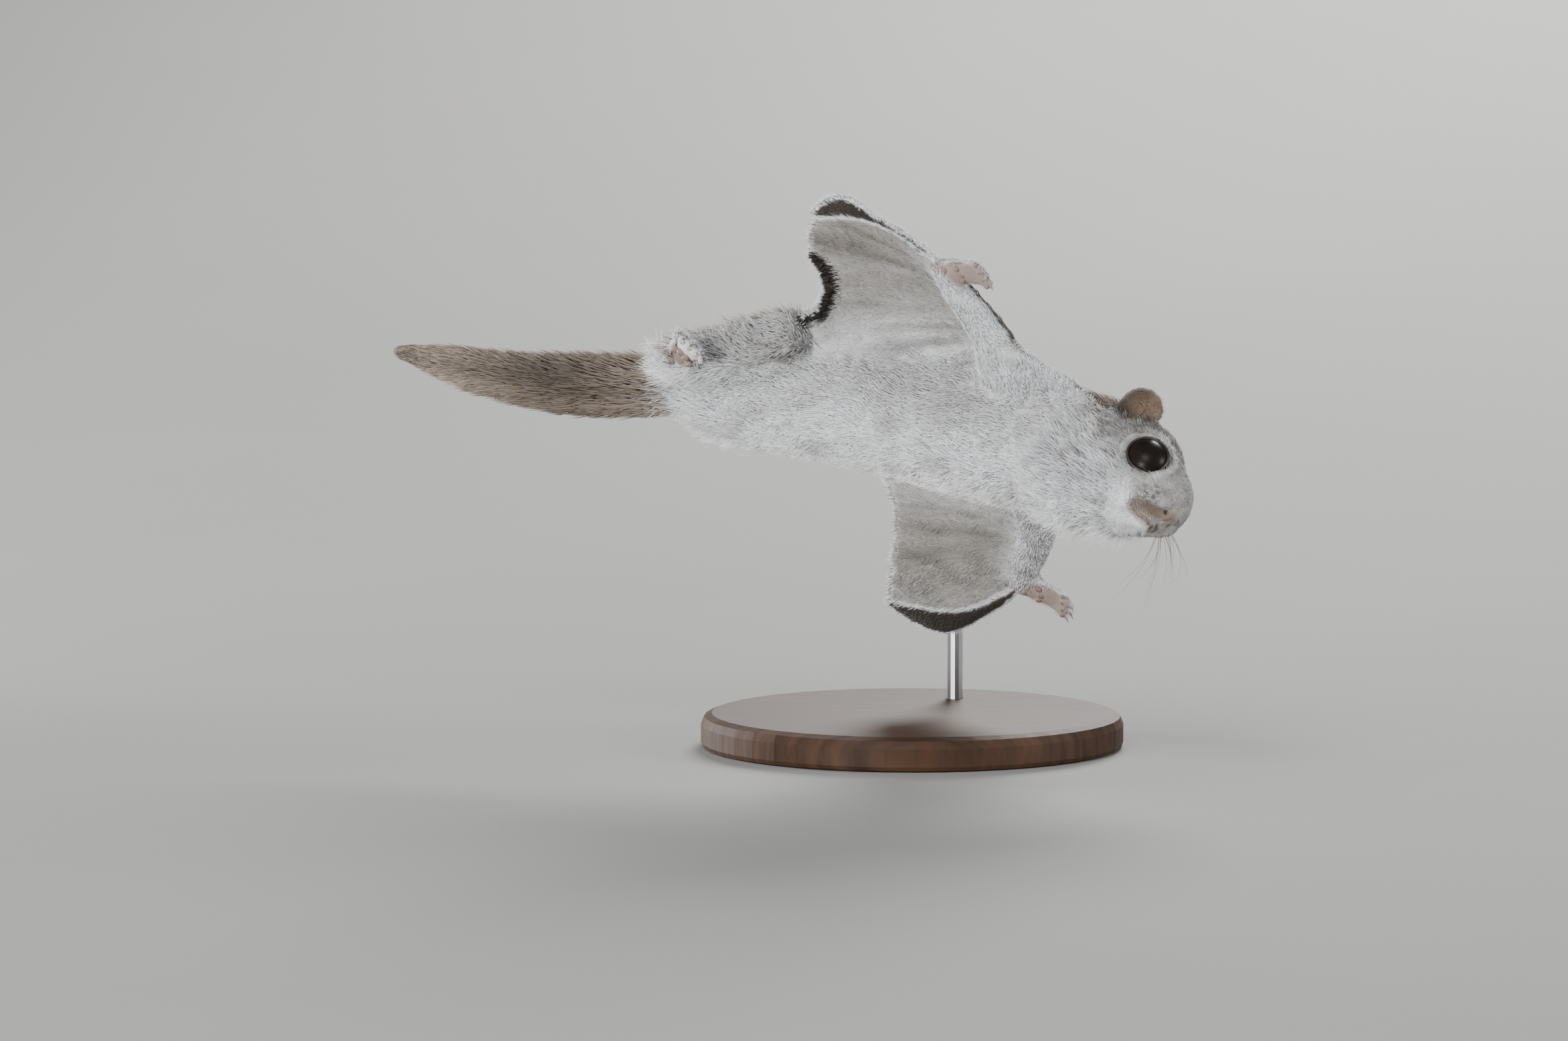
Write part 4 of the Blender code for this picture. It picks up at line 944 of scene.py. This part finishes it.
# The tail's locks, in rows from the root to the tip, lying back and out to its full outline
def tail_locks(name, number, length, width, inner, outer):
    t = (np.arange(number) + RNG.random(number)) / number
    f = -44 - 104 * t
    at = columns(*[np.interp(-f, -TAIL[:, 0], TAIL[:, k]) for k in range(5)])
    turn = rand(0, 2 * math.pi, number)
    sideways, upward = np.cos(turn), np.sin(turn)
    depth = rand(inner, outer, number)
    place = columns(f, at[:, 1] + sideways * at[:, 3] * depth, at[:, 2] + upward * at[:, 4] * depth)
    normal = unit(columns(0, sideways / at[:, 3], upward / at[:, 4]))
    long = length * rand(0.7, 1.15, number) * (1 - 0.25 * t)
    spread = 1 - 3.2 * step(-116, -148, f)
    lay = unit(columns(-1, sideways * 0.2 * spread, upward * 0.12 * spread)
               + RNG.normal(0, 0.045, (number, 3)))
    long = np.where(f - long < -151, np.maximum(f + 151, 2.5), long)
    tone = 0.55 + 0.3 * waves(place * vec(0.35, 1, 1), 5, 91) + RNG.normal(0, 0.09, number)
    colour = layers(linear(84, 73, 62), (linear(150, 135, 120), tone), (WHITE, step(-62, -46, f) * 0.75))
    uv = np.array([PATCH[SKIN_TREE.find(spot)[1]] for spot in place])
    tufts(name, place, normal, lay, long, width * rand(0.7, 1.3, number),
          np.full(number, 0.08), colour, uv, 2, "tail_hair", sway=0.08, tip_tone=0.98)


tail_locks("tail_inner", int(4500 * MUCH), 12, 0.7, 0.35, 0.7)
tail_locks("tail_outer", int(14500 * MUCH), 8, 0.4, 0.55, 0.95)


def strands(name, paths, widths, material, slot, sides):
    """Thin round tapering shapes along given paths of the animal's frame, joined in one mesh."""
    verts, faces, base = [], [], 0
    k = np.arange(sides)
    around = (k + 1) % sides
    turn = round_angles(sides)
    for path, width in zip(paths, widths):
        ahead = unit(np.gradient(path, axis=0))
        across = unit(np.cross(ahead, vec(0.31, 0.2, 0.93)))
        above = np.cross(ahead, across)
        ring = (path[:, None] + across[:, None] * (np.cos(turn)[:, None] * width[:, None, None])
                + above[:, None] * (np.sin(turn)[:, None] * width[:, None, None]))
        verts += [ring.reshape(-1, 3), path[[0, -1]]]
        first = len(path) * sides
        end = first - sides
        faces += [base + halves(tube(len(path), sides)),
                  base + columns(first, around, k),
                  base + columns(first + 1, end + k, end + around)]
        base += first + 2
    ready(make_mesh(name, to_world(np.concatenate(verts)), np.concatenate(faces), material), slot)


horn = two_tone("claw_horn", (92, 80, 70), (150, 137, 124), 0.4, 500, depth=0.00005)
hair = two_tone("whisker_hair", (70, 64, 60), (118, 110, 104), 0.5, 200, depth=0.00002)
pad_skin = two_tone("pad_skin", (124, 102, 91), (150, 127, 115), 0.6, 900, depth=0.00012)
toe_skin = two_tone("toe_skin", (178, 165, 158), (206, 196, 190), 0.6, 900, depth=0.00012)
lid_skin = two_tone("lid_skin", (22, 18, 16), (52, 44, 39), 0.45, 900, depth=0.00005)


def hand_frame(side):
    """Wrist, direction of the fingers, across the palm and under it."""
    aim = unit(vec(0.96, 0.24 * side, -0.10))
    wide = unit(vec(-0.24, 0.97 * side, 0.0))
    under = np.cross(wide, aim)
    return WRIST * (1, side, 1), aim, wide, -np.sign(under[2]) * under


def foot_frame(side):
    """Ankle, direction of the toes, across the sole, the way it faces, and its length."""
    out = TOES[side] - ANKLE[side]
    aim = unit(out)
    under = unit(SOLE[side] - aim * (SOLE[side] @ aim))
    return ANKLE[side], aim, np.cross(aim, under), under, norm(out) - TOE_LENGTH


TOE_LENGTH = 4.8
FINGERS = {-0.72: 0.84, -0.25: 1.0, 0.25: 1.0, 0.72: 0.82}      # place across the palm: share of length
FOOT_TOES = {-0.8: 0.72, -0.4: 0.95, 0.0: 1.0, 0.4: 0.95, 0.8: 0.72}


def claws():
    paths, widths = [], []
    s = np.linspace(0, 1, 7)[:, None]

    def add(root, point, down, digit, long, thick):
        tip = root + point * (digit - 0.9) + down * (digit * 0.22 - 0.35)
        paths.append(tip + point * (long * s) + down * (2.0 * s * s))
        widths.append(thick * (1 - s[:, 0] ** 1.5) + 0.04)

    for side in (-1, 1):
        wrist, aim, wide, _ = hand_frame(side)
        for k, reach in FINGERS.items():
            add(wrist + aim * 8.6 + wide * (4.6 * k), unit(aim + wide * (0.14 * k)), vec(0, 0, -1.0),
                8.5 * reach, 3.3, 0.52)
        ankle, aim, wide, under, length = foot_frame(side)
        for k, reach in FOOT_TOES.items():
            add(ankle + aim * (length * 0.92) + wide * (4.4 * k), unit(aim + wide * (0.38 * k)), under,
                8.0 * reach, 3.0, 0.5)
    strands("claws", paths, widths, horn, "paw_skin", 8)


def balls(name, spots, material):
    """Flattened balls, each from its place, its three axes and its radius."""
    rows, sides = 9, 12
    ball = sphere(rows, sides, 0)
    squash = vec(1.15, 1.0, 0.62)[:, None]
    verts = [place + ball @ (np.stack([aim, wide, under]) * squash) * r
             for place, aim, wide, under, r in spots]
    one = halves(tube(rows, sides)[:, ::-1])
    faces = [one + k * len(ball) for k in range(len(spots))]
    ready(make_mesh(name, to_world(np.concatenate(verts)), np.concatenate(faces), material), "paw_skin")


def cushions():
    """Bare pads under the palms and soles."""
    palm, sole, toe = [], [], []
    for side in (-1, 1):
        wrist, *axes = hand_frame(side)
        aim, wide, under = axes
        for t, w, r in ((2.2, -1.8, 1.2), (2.4, 1.6, 1.2), (7.0, -2.2, 1.0), (7.8, 0, 1.0), (7.0, 2.2, 1.0)):
            palm.append((wrist + aim * t + wide * w + under * 1.6, *axes, r))
        for k in FINGERS:
            point = unit(aim + wide * 0.14 * k)
            palm.append((wrist + aim * 8.6 + wide * 4.6 * k + point * 6.6 + under * 1.8, *axes, 0.75))
        ankle, *axes, long = foot_frame(side)
        aim, wide, under = axes
        for t, w, r in ((0.76, -0.62, 1.4), (0.84, -0.2, 1.4), (0.84, 0.25, 1.4), (0.74, 0.66, 1.4),
                        (0.34, -0.3, 1.6)):
            sole.append((ankle + aim * long * t + wide * 4.4 * w + under * 1.9, *axes, r))
        for k in FOOT_TOES:
            point = unit(aim + wide * 0.38 * k)
            toe.append((ankle + aim * long * 0.92 + wide * 4.4 * k + point * 6.0 + under * 2.0, *axes, 1.1))
    balls("palm_pads", palm, pad_skin)
    balls("sole_pads", sole, pad_skin)
    balls("toe_pads", toe, toe_skin)


def whiskers():
    paths, widths = [], []
    s = np.linspace(0, 1, 16)[:, None]
    for side in (-1, 1):
        for i in range(16):
            row, spot = i % 4, i // 4
            root = vec(13.6 - 1.2 * spot, 6.0 + 0.9 * spot - 0.1 * row, -7.0 - 1.1 * row)
            aim = unit(vec(0.75 - 0.1 * spot, 0.55 + 0.1 * spot, 0.12 - 0.26 * row)
                       + RNG.normal(0, 0.15, 3))
            droop = vec(-0.8, 0.0, -0.3) * rand(0.5, 1.5, 1)
            path, long = None, rand(14, 26, 1)
            while path is None or (to_world(path)[:, 1] < cad_low[1] - WHISKER_REACH).any():
                path = root + aim * (long * s) + droop * (long * 0.5 * s * s)
                path = head_to_body(path * vec(1, side, 1))
                long = long * 0.93
            paths.append(path)
            widths.append(0.06 * (1 - s[:, 0]) + 0.014)
    strands("whiskers", paths, widths, hair, "coat_white", 5)


def lids():
    """The dark margin of the eyelids, drawn to a point in front and a little behind."""
    turn = round_angles(72)
    front = vec(1.0, 0, -0.25)
    ahead = unit(front - EYE_AXIS * (front @ EYE_AXIS))
    above = np.cross(ahead, EYE_AXIS)
    for side in (-1, 1):
        opening = LID_ANGLE * (1 + 0.10 * np.exp(-((turn - math.pi * 2 * (turn > math.pi)) / 0.35) ** 2))
        look = (EYE_AXIS * np.cos(opening)[:, None] + ahead * (np.sin(opening) * np.cos(turn))[:, None]
                + above * (np.sin(opening) * np.sin(turn))[:, None])
        reach = 1 / norm(look / EYE_SIZE)
        middle = EYE + look * (reach * 1.03)[:, None]
        outward = unit(middle - EYE)
        along = unit(np.roll(middle, -1, axis=0) - np.roll(middle, 1, axis=0))
        sideways = np.cross(along, outward)
        small = round_angles(8)
        ring = (middle[:, None] + outward[:, None] * (np.cos(small)[:, None] * 0.42)
                + sideways[:, None] * (np.sin(small)[:, None] * 0.62))
        count, k = ring.shape[:2]
        index = np.arange(count * k).reshape(count, k)
        after = np.roll(index, -1, 1)
        faces = np.dstack([index, after, np.roll(after, -1, 0), np.roll(index, -1, 0)]).reshape(-1, 4)
        if side < 0:
            faces = faces[:, ::-1]
        shape = ring.reshape(-1, 3) * vec(1, side, 1)
        name = "lid_right" if side < 0 else "lid_left"
        ready(make_mesh(name, to_world(head_to_body(shape)), faces, lid_skin), "eye_dark")


claws()
cushions()
whiskers()
lids()


# Eyes
def eye_piece(side):
    rows, sides = 40, 64
    shape = (sphere(rows, sides, 0.02)[:, [0, 2, 1]] * EYE_SIZE + EYE) * (1, side, 1)
    faces = tube(rows, sides)[:, ::side]
    name = "right" if side < 0 else "left"
    made, tree, shader = start(f"eye_gloss_{name}", 0.36)
    noise = noise_link(tree, 300, 3)
    toned(tree, shader, noise, (0.004, 0.003, 0.003), (0.016, 0.011, 0.008), 0, 1)
    shader.inputs["Specular IOR Level"].default_value = 0.11
    obj = make_mesh(f"eyeball_{name}", to_world(head_to_body(shape)), faces, made)
    ready(obj, "eye_dark")
    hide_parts(f"eye_{name}")


eye_piece(-1)
eye_piece(1)

flesh = [node for names in REGIONS.values() for node in names] + ["tail"]
ready(skin, "coat_white")
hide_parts(*flesh)

# The stand's own finish
wood = two_tone("stained_wood", (44, 30, 21), (74, 51, 35), 0.62, 55, (1, 9, 1), 0.00025)
wood.node_tree.nodes["Principled BSDF"].inputs["Specular IOR Level"].default_value = 0.2
steel = two_tone("brushed_steel", (150, 150, 152), (190, 190, 192), 0.28, 400, (1, 1, 0.05), 0.00002, 1.0)
for node, finish in (("stand_base", wood), ("stand_rod", steel)):
    for entry in NODES[node].material_slots:
        entry.material = finish


# The floor, the lights and the camera
def floor():
    """A plain sheet that sweeps up behind the model."""
    rows = [(-6, 0), (0.2, 0)] + [(0.2 + 3.2 * math.sin(a), 3.2 - 3.2 * math.cos(a))
                                  for a in np.linspace(0.04, math.pi / 2, 32)] + [(3.4, 7)]
    verts = [(x, y, z) for y, z in rows for x in (-7, 7)]
    faces = [(k, k + 1, k + 3, k + 2) for k in range(0, 2 * len(rows) - 2, 2)]
    pale = two_tone("pale_floor", (134, 133, 131), (140, 139, 137), 0.85, 3, depth=0.0001)
    obj = make_mesh("floor", np.array(verts, dtype=float), faces, pale)


def light(name, place, aim, size, power):
    lamp = bpy.data.lights.new(name, "AREA")
    lamp.shape = "DISK"
    lamp.size = size
    lamp.energy = power
    obj = placed(name, lamp)
    obj.location = place
    obj.rotation_euler = (Vector(aim) - Vector(place)).to_track_quat("-Z", "Y").to_euler()


floor()
light("key", (-0.6, -1.5, 1.5), (0, 0, 0.1), 0.8, 23)
light("low", (-0.8, -1.1, 0.14), (0, 0, 0.1), 0.26, 16)
light("side", (1.3, -0.4, 0.4), (0, 0, 0.1), 0.5, 13)
light("rim", (0.3, 1.3, 0.9), (0, 0, 0.12), 0.7, 34)
light("edge", (-0.8, 0.5, 0.12), (-0.05, 0, 0.09), 0.2, 10)
world = bpy.data.worlds.new("studio")
world.use_nodes = True
sky = world.node_tree.nodes["Background"]
sky.inputs["Color"].default_value = (0.85, 0.87, 0.9, 1)
sky.inputs["Strength"].default_value = 0.42
bpy.context.scene.world = world

CAMERA_DISTANCE, CAMERA_TILT = 3, math.radians(6)
AIM = Vector((-0.0376, -0.0335, 0.0701))
lens = bpy.data.cameras.new("camera")
lens.lens = 237.9
lens.sensor_width = 36
lens.clip_start = 0.05
lens.clip_end = 30
camera = placed("camera", lens)
camera.location = AIM - Vector((0, math.cos(CAMERA_TILT), -math.sin(CAMERA_TILT))) * CAMERA_DISTANCE
camera.rotation_euler = (math.pi / 2 - CAMERA_TILT, 0, 0)
bpy.context.scene.camera = camera
